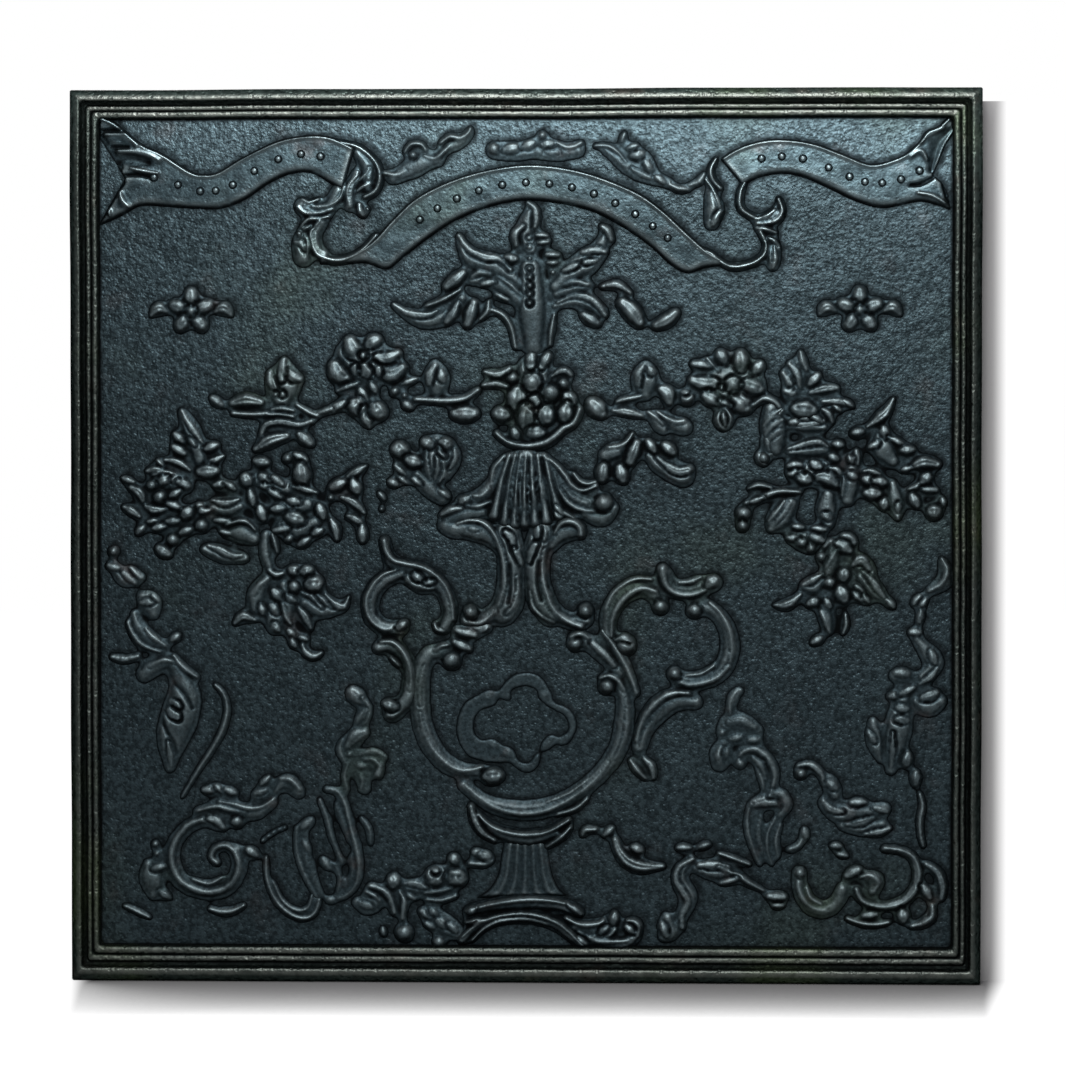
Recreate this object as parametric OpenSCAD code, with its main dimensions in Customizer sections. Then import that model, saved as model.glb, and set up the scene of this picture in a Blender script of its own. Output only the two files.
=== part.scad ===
// Cast iron fireback: a square ground with a moulded border, and an urn, scrolls, garlands
// and ribbons carved in relief on its front. It stands on its bottom edge and faces -Y.

/* [Plate] */
// Width over the border
plate_w = 610; // [540:5:700]
// Height over the border
plate_h = 598; // [530:5:690]
// Thickness of the ground behind the ornament
ground_t = 14; // [10:1:20]

/* [Border] */
// Width of the outer half-round moulding
rail_w = 10; // [8:0.5:14]
// Height of the outer moulding above the ground
rail_h = 12; // [10:0.5:16]
// Width of the inner moulding with its two beads
bead_band_w = 9.5; // [8:0.5:12]
// Height of the inner moulding's fillet above the ground
bead_fillet_h = 5; // [3:0.5:7]
// Radius of the small outer bead
small_bead_r = 1.8; // [1.2:0.1:2.2]
// Radius of the inner bead
inner_bead_r = 2.4; // [1.8:0.1:2.6]

/* [Relief] */
// Height of the ribbons above the ground
ribbon_relief = 3; // [2:0.5:5]
// Height of the urn, its handles and its foot
urn_relief = 8; // [5:0.5:9]
// Height of the flowers, berries and leaves
garland_relief = 7; // [4:0.5:9]
// Height of the scrolls and leaves at the sides and corners
scroll_relief = 6.5; // [4:0.5:9]
// Height of the low leaves and the urn's stem
low_relief = 2.5; // [1.5:0.5:4]
// Radius of the rosettes' petals
petal_r = 5; // [4:0.5:6.5]
// Number of petals in a rosette
petals = 6; // [5:1:8]
// Spacing of the pellets along the ribbons
pellet_gap = 13; // [11:1:20]

/* [Hidden] */
$fn = 48;

// ---- Outlines of the ribbons ------------------------------------------
// Points on the drawing, read from the left along each edge
left_top = [[-285.5, 572.5], [-276, 569.5], [-262, 564], [-240, 553], [-222, 543.5], [-210, 543],
            [-188, 553], [-165, 563.5], [-146, 567], [-130, 566], [-114, 559]];
left_bottom = [[-285.5, 509], [-273, 516], [-257, 522], [-240, 521.5], [-220, 519], [-204, 519],
               [-188, 524.5], [-172, 535], [-158, 541.5], [-143, 542.5], [-131, 536], [-122, 531]];
left_notch = [-269, 541];
arch_top = [[-137, 487], [-126, 485.5], [-115, 488], [-101, 497], [-88, 511], [-74, 524],
            [-58, 533], [-40, 540], [-20, 545], [0, 547.5], [20, 546.5], [40, 542.5],
            [60, 535.5], [78, 527], [93, 516], [108, 502], [121, 490.5], [132, 484]];
arch_bottom = [[-137, 481.5], [-120, 481.5], [-106, 482], [-92, 478], [-80, 487], [-64, 499],
               [-46, 510.5], [-24, 519.5], [0, 524], [24, 522], [46, 516.5], [66, 506],
               [84, 493], [98, 480.5], [109, 475], [121, 478.5], [132, 479.5]];
right_top = [[131, 551], [144, 558.5], [160, 563], [176, 563.5], [194, 560.5], [214, 553],
             [232, 545.5], [246, 549], [260, 559], [272, 570.5], [285.5, 578.5]];
right_bottom = [[146, 533], [156, 538.5], [170, 541], [184, 539.5], [205, 530.5], [222, 522.5],
                [240, 518.5], [262, 522], [275, 521], [285.5, 516.5]];
right_notch = [272, 542];

// ---- Where things lie -------------------------------------------------
depth = ground_t + rail_h;
back_y = depth / 2;
face_y = back_y - ground_t;
border_w = rail_w + bead_band_w;
ground_w = plate_w - 2 * border_w;
ground_h = plate_h - 2 * border_w;

// The ornament is drawn about the middle of the ground's lower edge, and the ribbons' tips
// are its furthest points to the sides and the top: they reach the border at any plate size
drawn_foot = [0, 19.5];
ribbon_ends = concat(left_top, left_bottom, right_top, right_bottom);
drawn_reach = max([for (q = ribbon_ends) abs(q[0] - drawn_foot[0])]);
drawn_top = max([for (q = ribbon_ends) q[1] - drawn_foot[1]]);
scale_x = ground_w / 2 / drawn_reach;
scale_z = ground_h / drawn_top;
line_scale = (scale_x + scale_z) / 2;

function on_ground(x, z) =
  [(x - drawn_foot[0]) * scale_x, border_w + (z - drawn_foot[1]) * scale_z];

// ---- Carved strokes ---------------------------------------------------
// A stroke is [start, middle and end half-width, then x, z of the points on its line].
// Three numbers alone are a berry: [radius, x, z].
ring_gap = 6.5;
berry_half = 0.4;
cap_reach = 0.6;
crest_share = 0.6;
low_rise = 1.6;
rise_per_width = 0.55;

function ctrl_points(s) = len(s) == 3
  ? [on_ground(s[1] - berry_half * s[0], s[2]), on_ground(s[1] + berry_half * s[0], s[2])]
  : [for (i = [3:2:len(s) - 2]) on_ground(s[i], s[i + 1])];
function half_widths(s) = len(s) == 3
  ? line_scale * s[0] * [0.85, 0.85, 0.85]
  : line_scale * [s[0], s[1], s[2]];
function clamped(p, i) = p[max(0, min(len(p) - 1, i))];

// Catmull-Rom curve through the points, t counts spans
function curve_at(p, t) =
  let (i = min(floor(t), len(p) - 2), u = t - i,
       a = clamped(p, i - 1), b = p[i], c = p[i + 1], d = clamped(p, i + 2))
  0.5 * (2 * b + (c - a) * u + (2 * a - 5 * b + 4 * c - d) * u * u
         + (3 * b - a - 3 * c + d) * u * u * u);
function unit(v) = v / max(norm(v), 0.001);
function direction_at(p, t) =
  unit(curve_at(p, min(t + 0.05, len(p) - 1)) - curve_at(p, max(t - 0.05, 0)));
function eased(u) = u * u * (3 - 2 * u);
function width_at(w, f) = f < 0.5
  ? w[0] + (w[1] - w[0]) * eased(2 * f)
  : w[1] + (w[2] - w[1]) * eased(2 * f - 1);

// Places along the curve where a ring stands
function stops(p) = [
  for (i = [0:len(p) - 2])
    let (n = max(1, round(norm(p[i + 1] - p[i]) / ring_gap)))
    for (k = [0:n - 1]) i + k / n,
  len(p) - 1];

// One ring: foot, shoulder, shoulder, foot across the line
function ring(c, dir, w, rise) =
  let (side = [-dir[1], dir[0]])
  [for (e = [[-1, 0], [-crest_share, 1], [crest_share, 1], [1, 0]])
    [c[0] + side[0] * e[0] * w, -e[1] * rise, c[1] + side[1] * e[0] * w]];
function rise_of(w) = low_rise + rise_per_width * w;

function stroke_rings(p, w) =
  let (ts = stops(p), last = len(p) - 1,
       head = direction_at(p, 0), tail = direction_at(p, last))
  concat(
    [ring(p[0] - cap_reach * w[0] * head, head, w[0] * 0.5, rise_of(w[0]) * 0.6)],
    [for (t = ts)
      let (h = width_at(w, t / last))
      ring(curve_at(p, t), direction_at(p, t), h, rise_of(h))],
    [ring(p[last] + cap_reach * w[2] * tail, tail, w[2] * 0.5, rise_of(w[2]) * 0.6)]);

module stroke(s) {
  rings = stroke_rings(ctrl_points(s), half_widths(s));
  n = len(rings);
  sides = [
    for (i = [0:n - 2])
      for (k = [0:3])
        let (a = 4 * i + k, b = 4 * i + (k + 1) % 4)
        [a, b, b + 4, a + 4]];
  polyhedron(
    points = [for (r = rings) for (q = r) q],
    faces = concat(sides, [[3, 2, 1, 0]], [[for (k = [0:3]) 4 * (n - 1) + k]]),
    convexity = 6);
}

// Strokes laid on the ground and brought to one height
module carving(height, strokes) {
  color([0.17, 0.19, 0.21])
    translate([0, face_y, 0])
      resize([0, height, 0])
        union()
          for (s = strokes) stroke(s);
}

// ---- Plate and border -------------------------------------------------
module back_plate() {
  color([0.14, 0.16, 0.18])
    translate([-plate_w / 2, face_y, 0])
      cube([plate_w, ground_t, plate_h]);
}

// Half-round moulding, seen across it: outer edge at 0, ground at 0
module rail_profile() {
  r = rail_w / 2;
  square([rail_w, rail_h - r]);
  translate([r, rail_h - r]) circle(r);
}

module bead_profile() {
  small_at = rail_w + 0.25 * bead_band_w;
  inner_at = rail_w + 0.7 * bead_band_w;
  translate([rail_w, 0]) square([bead_band_w, bead_fillet_h]);
  translate([small_at, bead_fillet_h]) circle(small_bead_r);
  translate([inner_at, bead_fillet_h]) circle(inner_bead_r);
}

// A length of moulding lying along X with its outer edge on z = 0, mitred at both ends
module mitred(length, across) {
  intersection() {
    translate([-length / 2, face_y, 0])
      rotate([90, 0, 90])
        linear_extrude(length)
          rotate(90) children();
    translate([0, face_y, 0])
      rotate([90, 0, 0])
        linear_extrude(rail_h)
          polygon([[-length / 2, 0], [length / 2, 0],
                   [length / 2 - across, across], [-length / 2 + across, across]]);
  }
}
module side_top(across) translate([0, 0, plate_h]) mirror([0, 0, 1]) mitred(plate_w, across) children();
module side_bottom(across) mitred(plate_w, across) children();
module side_left(across)
  translate([-plate_w / 2, 0, plate_h / 2]) rotate([0, 90, 0]) mitred(plate_h, across) children();
module side_right(across)
  translate([plate_w / 2, 0, plate_h / 2]) rotate([0, -90, 0]) mitred(plate_h, across) children();
module iron() color([0.12, 0.14, 0.15]) children();

module border_top() iron() side_top(rail_w) rail_profile();
module border_bottom() iron() side_bottom(rail_w) rail_profile();
module border_left() iron() side_left(rail_w) rail_profile();
module border_right() iron() side_right(rail_w) rail_profile();
module bead_top() iron() side_top(border_w) bead_profile();
module bead_bottom() iron() side_bottom(border_w) bead_profile();
module bead_left() iron() side_left(border_w) bead_profile();
module bead_right() iron() side_right(border_w) bead_profile();

// ---- Ribbons ----------------------------------------------------------
// Each edge is a few points, read from the left, with a smooth curve through them
edge_steps = 2;
function edge(points) =
  let (p = [for (q = points) on_ground(q[0], q[1])])
  concat([for (i = [0:len(p) - 2]) for (k = [0:edge_steps - 1]) curve_at(p, i + k / edge_steps)],
         [p[len(p) - 1]]);
function backwards(p) = [for (i = [len(p) - 1:-1:0]) p[i]];

module ribbon(points) {
  color([0.2, 0.22, 0.24])
    translate([0, face_y, 0])
      rotate([90, 0, 0])
        linear_extrude(ribbon_relief)
          polygon(points);
}
module ribbon_left()
  ribbon(concat(edge(left_top), backwards(edge(left_bottom)),
                [on_ground(left_notch[0], left_notch[1])]));
module ribbon_arch() ribbon(concat(edge(arch_top), backwards(edge(arch_bottom))));
module ribbon_right()
  ribbon(concat(edge(right_top), [on_ground(right_notch[0], right_notch[1])],
                backwards(edge(right_bottom))));

// Plain round pellets spaced evenly along the middle of a ribbon, standing on it
pellet_r = 3;
pellet_h = 2;
function middle_at(top, bottom, f) =
  (curve_at(top, f * (len(top) - 1)) + curve_at(bottom, f * (len(bottom) - 1))) / 2;
module pellets(top_edge, bottom_edge, from, to) {
  top = [for (q = top_edge) on_ground(q[0], q[1])];
  bottom = [for (q = bottom_edge) on_ground(q[0], q[1])];
  start = middle_at(top, bottom, from);
  end = middle_at(top, bottom, to);
  n = floor(norm(end - start) / pellet_gap);
  color([0.24, 0.26, 0.28])
    for (i = [0:n]) {
      c = middle_at(top, bottom, from + (to - from) * i / n);
      translate([c[0], face_y - ribbon_relief, c[1]])
        rotate([90, 0, 0])
          cylinder(h = pellet_h, r1 = pellet_r, r2 = pellet_r * 0.7);
    }
}
module pellets_left() pellets(left_top, left_bottom, 0.3, 0.88);
module pellets_arch() pellets(arch_top, arch_bottom, 0.3, 0.82);
module pellets_right() pellets(right_top, right_bottom, 0.14, 0.78);

module ribbon_knot_left() carving(ribbon_relief + 1, [
  // the end rolls over and hangs
  [2.5, 4, 3, -110, 556, -102, 550, -98, 541, -100, 532, -107, 526],
  [2.5, 3.5, 3, -112, 550, -108, 541, -112, 531, -115, 523],
  [4, -112, 514],
  // turn down to the arch
  [4, 4, 3.5, -122, 526, -131, 518, -140, 509, -143.5, 499, -141, 491],
  // leaf curls on the turn
  [2, 3.5, 3, -135, 515, -145, 514, -152, 519, -148, 525],
  [2, 3, 2.5, -148, 508, -154, 503, -152, 496],
  [5, -149, 487]
]);
module ribbon_knot_right() carving(ribbon_relief + 1, [
  // the end rolls over and hangs
  [4, 5, 4, 124, 546, 128, 540, 133, 534],
  [2, 3.5, 4, 134, 529, 136.5, 520, 135, 510, 130, 503],
  // turn down to the arch
  [4, 4, 3, 144, 526, 144, 515, 151, 506, 158, 499, 160, 490, 153, 483, 141, 480],
  // leaf curls on the turn
  [2, 3.5, 3, 160, 508, 169, 509, 176, 514, 173, 521],
  [2, 3, 2.5, 163, 501, 171, 499, 174, 505],
  [3.5, 5, 4, 170, 493, 167, 482]
]);

// ---- Sprigs along the top ---------------------------------------------
module crest_left() carving(garland_relief * 0.7, [
  [1.5, 2.6, 2.5, -93, 541, -87, 537.5, -80, 539.5],
  [5, 7, 5, -79, 543, -71, 548],
  [1.3, 2, 1.5, -78, 554, -75, 559, -70, 558],
  [2, 3, 2.5, -64, 549, -56, 551, -51, 557],
  [1.5, 2.2, 1.5, -57, 562, -50, 566, -43, 563.5, -38, 567, -37, 572]
]);
module crest_centre() carving(garland_relief * 0.7, [
  [4.5, -23, 556],
  [4.5, -14, 555.5],
  [3.5, 4.5, 3.5, -6, 556.5, 5, 554, 16, 556],
  [3.8, 12, 565.5],
  [3.5, 22, 560],
  [1.5, 3, 2.5, 22, 554, 31, 554, 37, 556.5],
  [1.5, 2.2, 2, 28, 561, 34, 560, 39, 562]
]);
module crest_right() carving(garland_relief * 0.7, [
  [1.2, 2, 2, 46, 560.5, 56, 560, 63, 556, 68, 549],
  [1.3, 2, 1.5, 63, 562, 67, 566],
  [3, 4.5, 3.5, 73, 558, 77, 552, 80, 546],
  [1.8, 2.8, 2, 71, 544, 78, 539, 86, 536],
  [3, 4.2, 3, 86, 547, 90, 541],
  [1.5, 2.4, 1.5, 93, 535, 100, 532, 108, 531],
  [1.5, 2.5, 1.5, 112, 532, 118, 535.5, 120, 541]
]);

// ---- Rosettes and the plume -------------------------------------------
// The left rosette's middle; the right one mirrors it
rosette_at = [-224, 450];
petal_reach = 12;
leaf_reach = 27;
module rosette(at) {
  // these lengths are real ones, so the drawing's scale is taken out again
  r = petal_r / line_scale;
  out = petal_reach / line_scale;
  tip = leaf_reach / line_scale;
  carving(garland_relief * 0.8, concat(
    [for (k = [0:petals - 1])
      let (a = 90 + k * 360 / petals)
      [r * 0.5, r, r * 0.9,
       at[0] + 0.45 * out * cos(a), at[1] + 0.45 * out * sin(a),
       at[0] + out * cos(a), at[1] + out * sin(a)]],
    [[0.8 * r, at[0], at[1]]],
    [for (side = [-1, 1])
      [0.4 * r, 0.9 * r, 0.3 * r, at[0] + side * 0.63 * tip, at[1],
       at[0] + side * 0.82 * tip, at[1] + 0.07 * tip, at[0] + side * tip, at[1] - 0.11 * tip]]));
}
module rosette_left() rosette(rosette_at);
module rosette_right() rosette([-rosette_at[0], rosette_at[1]]);

module plume() carving(garland_relief, concat([
  // finial
  [1.5, 2.8, 2.5, 1, 522, 7, 520, 9, 512, 7, 505],
  [1.5, 2.5, 2, -7, 493, -11, 499, -9, 506, -3, 507],
  [2, 3.5, 2.5, -15, 485, -10, 490],
  [2.5, 3.5, 2, 13, 501, 17, 496],
  [2.5, 3.5, 2, 20, 488, 23, 482],
  // left leaves, from their tips inward
  [2, 4.5, 3, -46, 499, -40, 490, -28, 484.5, -14, 479, -5, 470],
  [3, 5, 3, -48, 465, -41, 474, -28, 474, -16, 468, -7, 457],
  [1.5, 4.5, 3.5, -88, 454, -76, 446.5, -64, 443, -54, 447, -47, 456],
  [2.5, 3.8, 2.5, -51, 441, -46, 447],
  [2.5, 3.8, 2.5, -38, 441, -35, 448],
  [3, 4.5, 3, -37, 460, -26, 460, -15, 453, -9, 443],
  // right leaves
  [2, 4, 3, 57, 504, 56, 494, 48, 486, 36, 479, 25, 472, 19, 462],
  [2.5, 3.5, 2.5, 47, 492, 38, 488],
  [2, 3.5, 2.5, 24, 463, 34, 468, 44, 465],
  [3, 5, 4, 20, 450, 30, 457, 43, 456, 53, 450],
  [2.5, 3, 2.5, 50, 468, 60, 467, 68, 461],
  [3.5, 6, 4, 66, 455, 72, 449, 77, 442],
  [2.5, 4.5, 3, 101, 448, 95, 443, 88, 440],
  [2.5, 4, 2.5, 40, 446, 47, 441],
  // trunk
  [2, 2.5, 2, -9, 438, -7, 430, -6, 424],
  [2, 2.5, 2, 22, 444, 18, 434, 17, 427]
], [for (z = [454:6.5:500]) [2, 4, z]]));

// ---- Urn --------------------------------------------------------------
module flower_cluster() carving(urn_relief, [
  // top petals
  [3, 4.3, 3, 4, 413, 5, 420],
  [3, 4, 3, 12, 413, 16, 420],
  // berries
  [7, 5, 402], [6.8, 18, 394], [5.5, 7, 388.5], [6.8, -6, 391], [7, 1, 379],
  [6.6, 15, 380.5], [7.2, 28, 382], [6.8, 8, 368.5], [5.5, -7, 368], [5.5, -17, 381],
  [4.5, 26, 401], [4.5, -8, 404], [5, 30, 393],
  // leaves at the sides
  [1.5, 3, 2, -27, 409, -18, 407, -10, 411],
  [1.5, 2.8, 2, -28, 400, -19, 401, -12, 399],
  [1.5, 2.8, 2, 18, 406, 26, 410, 31, 407],
  // cup under the fruit
  [2, 2.6, 2, -20, 370, -13, 362, 0, 359, 14, 360, 24, 368, 34, 374, 37, 384]
]);

flutes_out = [-20, -13, -6.5, 0, 7, 14.5, 23];
flutes_low = [314, 309, 307.5, 307.5, 308, 309.5, 313.5];
module shell_lid() carving(urn_relief, concat(
  // flutes fanning from the knot to the lip
  [for (i = [0:len(flutes_out) - 1])
    let (x = flutes_out[i], top_x = 1 + 0.52 * x)
    [1.6, 2.7, 4, top_x, 352, 0.55 * x + 0.45 * top_x, 337, 0.9 * x, 322, x, flutes_low[i]]],
  [
    // right volute
    [1.5, 2.4, 2, 15, 351, 23, 344, 31, 335, 40, 331.5, 49, 334],
    [1.5, 2.5, 2, 19, 341, 26, 330, 35, 323, 45, 323],
    [2, 3.5, 3.5, 27, 325, 36, 316, 47, 312, 56, 315, 60, 323],
    [7, 53, 322],
    // left volute
    [1.5, 2.5, 2, -14, 351, -21, 341, -26, 332, -33, 326.5, -41, 325],
    [2.5, 4.5, 4, -25, 319, -37, 317, -49, 313.5],
    [3, 4, 3, -55, 309, -51, 303, -43, 303]
  ]));

module neck_scroll_left() carving(urn_relief, [
  [3, 4.2, 3.5, -40, 306, -28, 302.5, -19, 295, -15.5, 283, -15, 270, -16.5, 258, -22, 248,
   -30, 242, -38.5, 242],
  [5.4, -37, 249],
  [1.5, 2.4, 1.5, -10, 303, -6.5, 296, -5.5, 289],
  [1.5, 2.6, 1.5, -8, 283, -7.5, 270, -8, 258]
]);
module neck_scroll_right() carving(urn_relief, [
  [4, 4.5, 4, 37, 301, 31, 304.5, 23, 301, 17, 293, 14.5, 281, 14, 268, 17, 256, 24, 246.5,
   33, 240.5, 42, 241],
  [5.8, 42, 248],
  [1.5, 2.4, 1.5, 9, 304, 6, 297, 2, 290],
  [1.5, 2.6, 1.5, 6.5, 282, 5.5, 270, 5, 259]
]);

module bowl_scrolls() carving(urn_relief, [
  // left shoulder leaves
  [2.5, 3.5, 2.5, -40, 235, -31, 234, -23, 237],
  [2.5, 4, 3, -46, 228, -37, 224],
  // left scroll and its ends
  [6.5, -49, 215],
  [4, 4.7, 4.8, -58, 220.5, -65.5, 213, -69, 202, -69.6, 190, -69.2, 176, -66.5, 162, -60,
   151, -49, 144, -38, 141, -29, 141],
  [6.2, -20, 137],
  // right scroll from its curl round the bottom
  [6.5, 55.5, 199],
  [3, 5.2, 3.5, 63, 203, 67.5, 192, 68, 177, 65.5, 163, 59, 150, 49, 138, 36, 127.5, 20, 119,
   3, 115, -14, 116.5, -28, 122, -42, 132],
  [1.5, 2.2, 1.5, 22, 112.5, 34, 116, 43, 123],
  // right shoulder
  [6, 34, 227],
  [4, 5.5, 4, 44, 227, 53, 219, 62, 210],
  [1.5, 2.4, 1.5, 51, 234, 59, 223, 68, 210, 75, 196],
  // shoulder rims meeting under the neck
  [1.2, 2, 1.2, -1, 258, -6, 250, -14, 244.5],
  [1.2, 2, 1.2, 4, 257, 9, 249, 19, 242]
]);
module bowl_dish() carving(urn_relief, [
  [2, 2.6, 2, -31, 111, -21, 104.5, -9, 101, 4, 100, 17, 102.5, 30, 109],
  [2.5, 3.2, 1.8, -37, 118, -36, 109, -31, 101.5, -24, 96],
  [1.3, 2, 1.3, 32, 103, 24, 97, 17, 90]
]);
module cartouche() carving(urn_relief * 0.45, [
  // top lobe
  [1.4, 1.8, 1.4, -12, 198, -7, 203.5, 1, 206, 9, 204.5, 14, 199],
  [3.5, -13, 190], [3, 15, 191],
  // left lobe and the curls at its ends
  [3.5, 4.6, 3, -23, 188, -31, 187, -38, 181, -41, 171, -38, 161, -31, 155],
  [3.8, -21, 157], [4.5, -12, 151.5],
  // bottom lobe
  [1.4, 1.8, 1.4, -6, 145.5, 0, 143.5, 6, 146, 9, 151],
  [3, 13, 159], [2.8, 20, 163],
  // right lobe
  [1.4, 1.9, 1.4, 26, 162, 31, 167, 32.5, 174, 29, 180, 21, 185]
]);

module low_solid(points) {
  color([0.16, 0.18, 0.2])
    translate([0, face_y, 0])
      rotate([90, 0, 0])
        linear_extrude(low_relief)
          polygon(points);
}
// Waisted pedestal between the dish and the foot
stem_left = [[-14, 95], [-16, 84], [-18, 72], [-24, 62], [-33, 56]];
stem_right = [[15, 95], [17, 84], [19, 72], [24, 62], [31, 57.5]];
module stem() low_solid(concat(edge(stem_left), backwards(edge(stem_right))));

module foot_arch() carving(urn_relief, [
  [2.5, 2.6, 2.5, -37, 48, -26, 51, -12, 53.5, 3, 54.5, 18, 54, 30, 51.5, 38, 47],
  [2, 3, 2.4, -46, 29, -38, 36, -28, 41, -15, 44.5, 0, 45.5, 14, 44.5, 26, 41],
  [1.6, 2, 1.6, -33, 27, -24, 34.5, -13, 38.5, 0, 39.5, 12, 38.5, 22, 34, 31, 27]
]);
module foot_scroll() carving(urn_relief * 0.8, [
  [1.8, 2.8, 2, 32, 39, 41, 38, 50, 41, 55, 40],
  [2.2, 3.2, 2, 33, 34.5, 42, 31, 52, 31.5, 60, 36, 62, 43],
  [2.5, 3.8, 3, 46, 26.5, 58, 25.5, 69, 28, 76, 34, 74, 40.5, 68, 38],
  [2, 3, 2, 36, 29.5, 41, 26]
]);

// ---- Handles ----------------------------------------------------------
module handle_left() carving(urn_relief, [
  // outer sweep from its knob round to the inner curl
  [3.5, 4, 3.5, -93, 296, -94, 288, -88, 282, -78, 280, -67, 278, -57, 272, -50.5, 262, -48.5,
   250, -52, 239.5],
  [4.3, -57, 237],
  // open ring on the left
  [3, 4, 3.5, -87, 275.5, -96, 271.5, -103, 263, -106, 251, -103, 240.5, -94, 235],
  [4.8, -82, 237],
  [2.5, 3.5, 2.5, -77, 269, -71, 264.5, -63, 266],
  // lower scroll
  [3.8, 3.2, 3, -98, 226, -90.5, 228, -84, 223, -79, 213, -78, 201, -80.5, 190, -87, 181],
  [5, -92, 185],
  [1, 2.2, 1, -91, 217.5, -85, 212.5]
]);
module handle_right() carving(urn_relief, [
  // inner scroll from its knob over the top
  [6.5, 68, 226],
  [4, 5, 4, 58.5, 232, 57, 243, 60.5, 254, 68, 262, 78, 266, 87, 263],
  [5.2, 90, 254],
  // leaf on the top
  [3.5, 4.2, 4, 93, 277, 95, 268, 102, 261.5, 111, 260.5, 119, 263.5],
  [6, 127, 267],
  [1.5, 2.5, 1.5, 104, 269, 112, 269.5, 118, 272],
  // outer C
  [5.2, 113, 249],
  [3, 4.5, 3.5, 118, 255, 127, 252, 134.5, 243, 139, 231, 139.5, 218, 134, 207, 123.5, 201, 111,
   199.5, 103, 202],
  [4.8, 100, 209],
  // root on the bowl
  [4.5, 4.8, 3.5, 114, 190, 103, 190.5, 92, 186, 83.5, 177.5, 78, 166, 76.5, 154],
  [1.5, 3, 1.5, 80, 150, 85, 144, 86, 137],
  [1.2, 2.2, 1.2, 71, 149, 76, 142, 81, 137]
]);

// ---- Flowering branches either side of the urn ------------------------
module branch_left() carving(garland_relief, [
  // twig from the urn
  [1.5, 2.2, 1.5, -31, 397, -40, 391, -51, 389.5, -62, 390, -73, 390.5],
  [4, 6, 4, -46, 381, -34, 381],
  [4, 8, 4, -59, 399, -59, 406, -60, 413],
  [3, 4, 2.5, -82, 400, -75, 402],
  [3.8, -88, 396],
  [2.5, 4, 3, -80, 383.5, -76, 387.5],
  // flower seen from above
  [3.5, 5.5, 4, -105, 428, -98, 431],
  [3, 5, 3, -120, 428, -113, 422],
  [3, 5.5, 2, -100, 419, -92, 419.5, -84, 423],
  [3, 6.5, 5, -128, 415, -123, 409, -116, 406],
  [4.3, -106.5, 409.5],
  [4, 6.5, 2.5, -97, 407, -89, 408, -82, 412],
  [3, -107, 419],
  // calyx and buds
  [1.5, 3.5, 2, -126, 396.5, -117, 399, -110, 400],
  [4, 6, 4, -111, 391, -114, 384],
  [3, 5, 3, -102, 396, -97, 391],
  [3.5, 5, 3, -108, 378, -104, 374],
  [6.5, -98, 382],
  // twig to the left
  [3, 2.6, 1.4, -123, 386.5, -131, 382.5, -140, 379, -150, 383.5],
  [1.3, 1.8, 1.2, -196, 381.3, -182, 380.5, -168, 381, -155, 379],
  [5, 10, 3.5, -163, 390, -162, 400, -161, 411],
  [3, 5.2, 3, -196, 388, -187, 390, -177, 388.5],
  [1.5, 3.2, 1.5, -210, 391.5, -204, 387],
  // drooping leaves
  [2, 3, 1.8, -177, 364, -174, 373, -164, 375.5, -152, 373.5, -143, 376],
  [2, 5, 3, -181, 357, -171, 363, -160, 366],
  [2, 4, 2, -151, 367, -144, 361]
]);
module branch_right() carving(garland_relief, [
  // leaves from the urn
  [4, 6, 4, 45, 388, 52, 381],
  [1.5, 3.5, 1.5, 59, 383, 69, 382, 79, 379.5],
  [1.2, 2, 1.2, 62, 389, 70, 391, 78, 392.5],
  [5.5, 9, 4.5, 81, 398, 81, 405, 81, 412],
  [4.5, 5.8, 4, 94, 396, 92, 389],
  [4, 5.8, 4, 110.5, 393.5, 107, 388],
  [2, 4.5, 4, 84, 381, 89, 374, 93, 370],
  [2, 4.5, 4, 91, 381.5, 99, 375, 107, 372],
  // open flower
  [5.8, 140, 401],
  [3.5, 5.5, 3.5, 131.5, 410, 132, 417],
  [4, 6.8, 4.5, 143.5, 411, 145, 419],
  [2, 3.5, 2, 126, 409.5, 118, 413.5],
  [4, 5.8, 4, 114.5, 403, 123, 401],
  [3.5, 5.5, 4, 122, 394, 129, 389],
  [4, 7, 5, 142.5, 391, 148, 386],
  [3, 5, 3, 153, 411, 157, 414],
  [3.5, 5.5, 3.5, 150, 400, 157, 398],
  [4, 6.3, 4.5, 134.5, 381, 133, 375],
  // leaves and the tulip bud
  [1.3, 2, 1.3, 153, 386.5, 160, 391, 167.5, 388.5, 172, 383],
  [4.5, 8, 4.5, 168, 374, 166.5, 364, 164, 355],
  [2, 3.5, 2.5, 157, 353, 160, 348],
  [3, 4.5, 1.5, 178, 397, 175, 404, 177, 412],
  [2.5, 3.8, 1.3, 184, 397, 186.5, 408, 185, 420],
  [2.5, 4, 2.5, 191, 401, 196, 406],
  [2, 3.8, 2, 191, 395, 200, 397.5, 209, 398],
  [1.5, 3, 1.2, 199, 389, 209, 389, 219, 386.5],
  [4, 7, 4, 182, 384, 192, 383],
  [2, 3, 2, 180, 374.5, 190, 373.5, 200, 376]
]);
module spray_left() carving(garland_relief, [
  [5, -84, 358],
  [3.5, 5.5, 3.5, -77, 354, -75, 347],
  [1.5, 3, 2, -88, 345.5, -82, 339],
  [2.5, 4, 2, -90, 331, -84, 334.5],
  [3, 5, 2.5, -66, 358, -66, 347, -63, 337, -57, 328],
  [3, 5, 3, -55, 361, -56, 351, -59, 342],
  [2.5, 4, 3, -48, 355, -48.5, 348, -52, 342],
  [1.5, 3, 2, -59, 331, -53, 325],
  [1.5, 2.5, 1.5, -98, 327.5, -94, 322.5],
  [2.4, -96, 316.5]
]);
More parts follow.
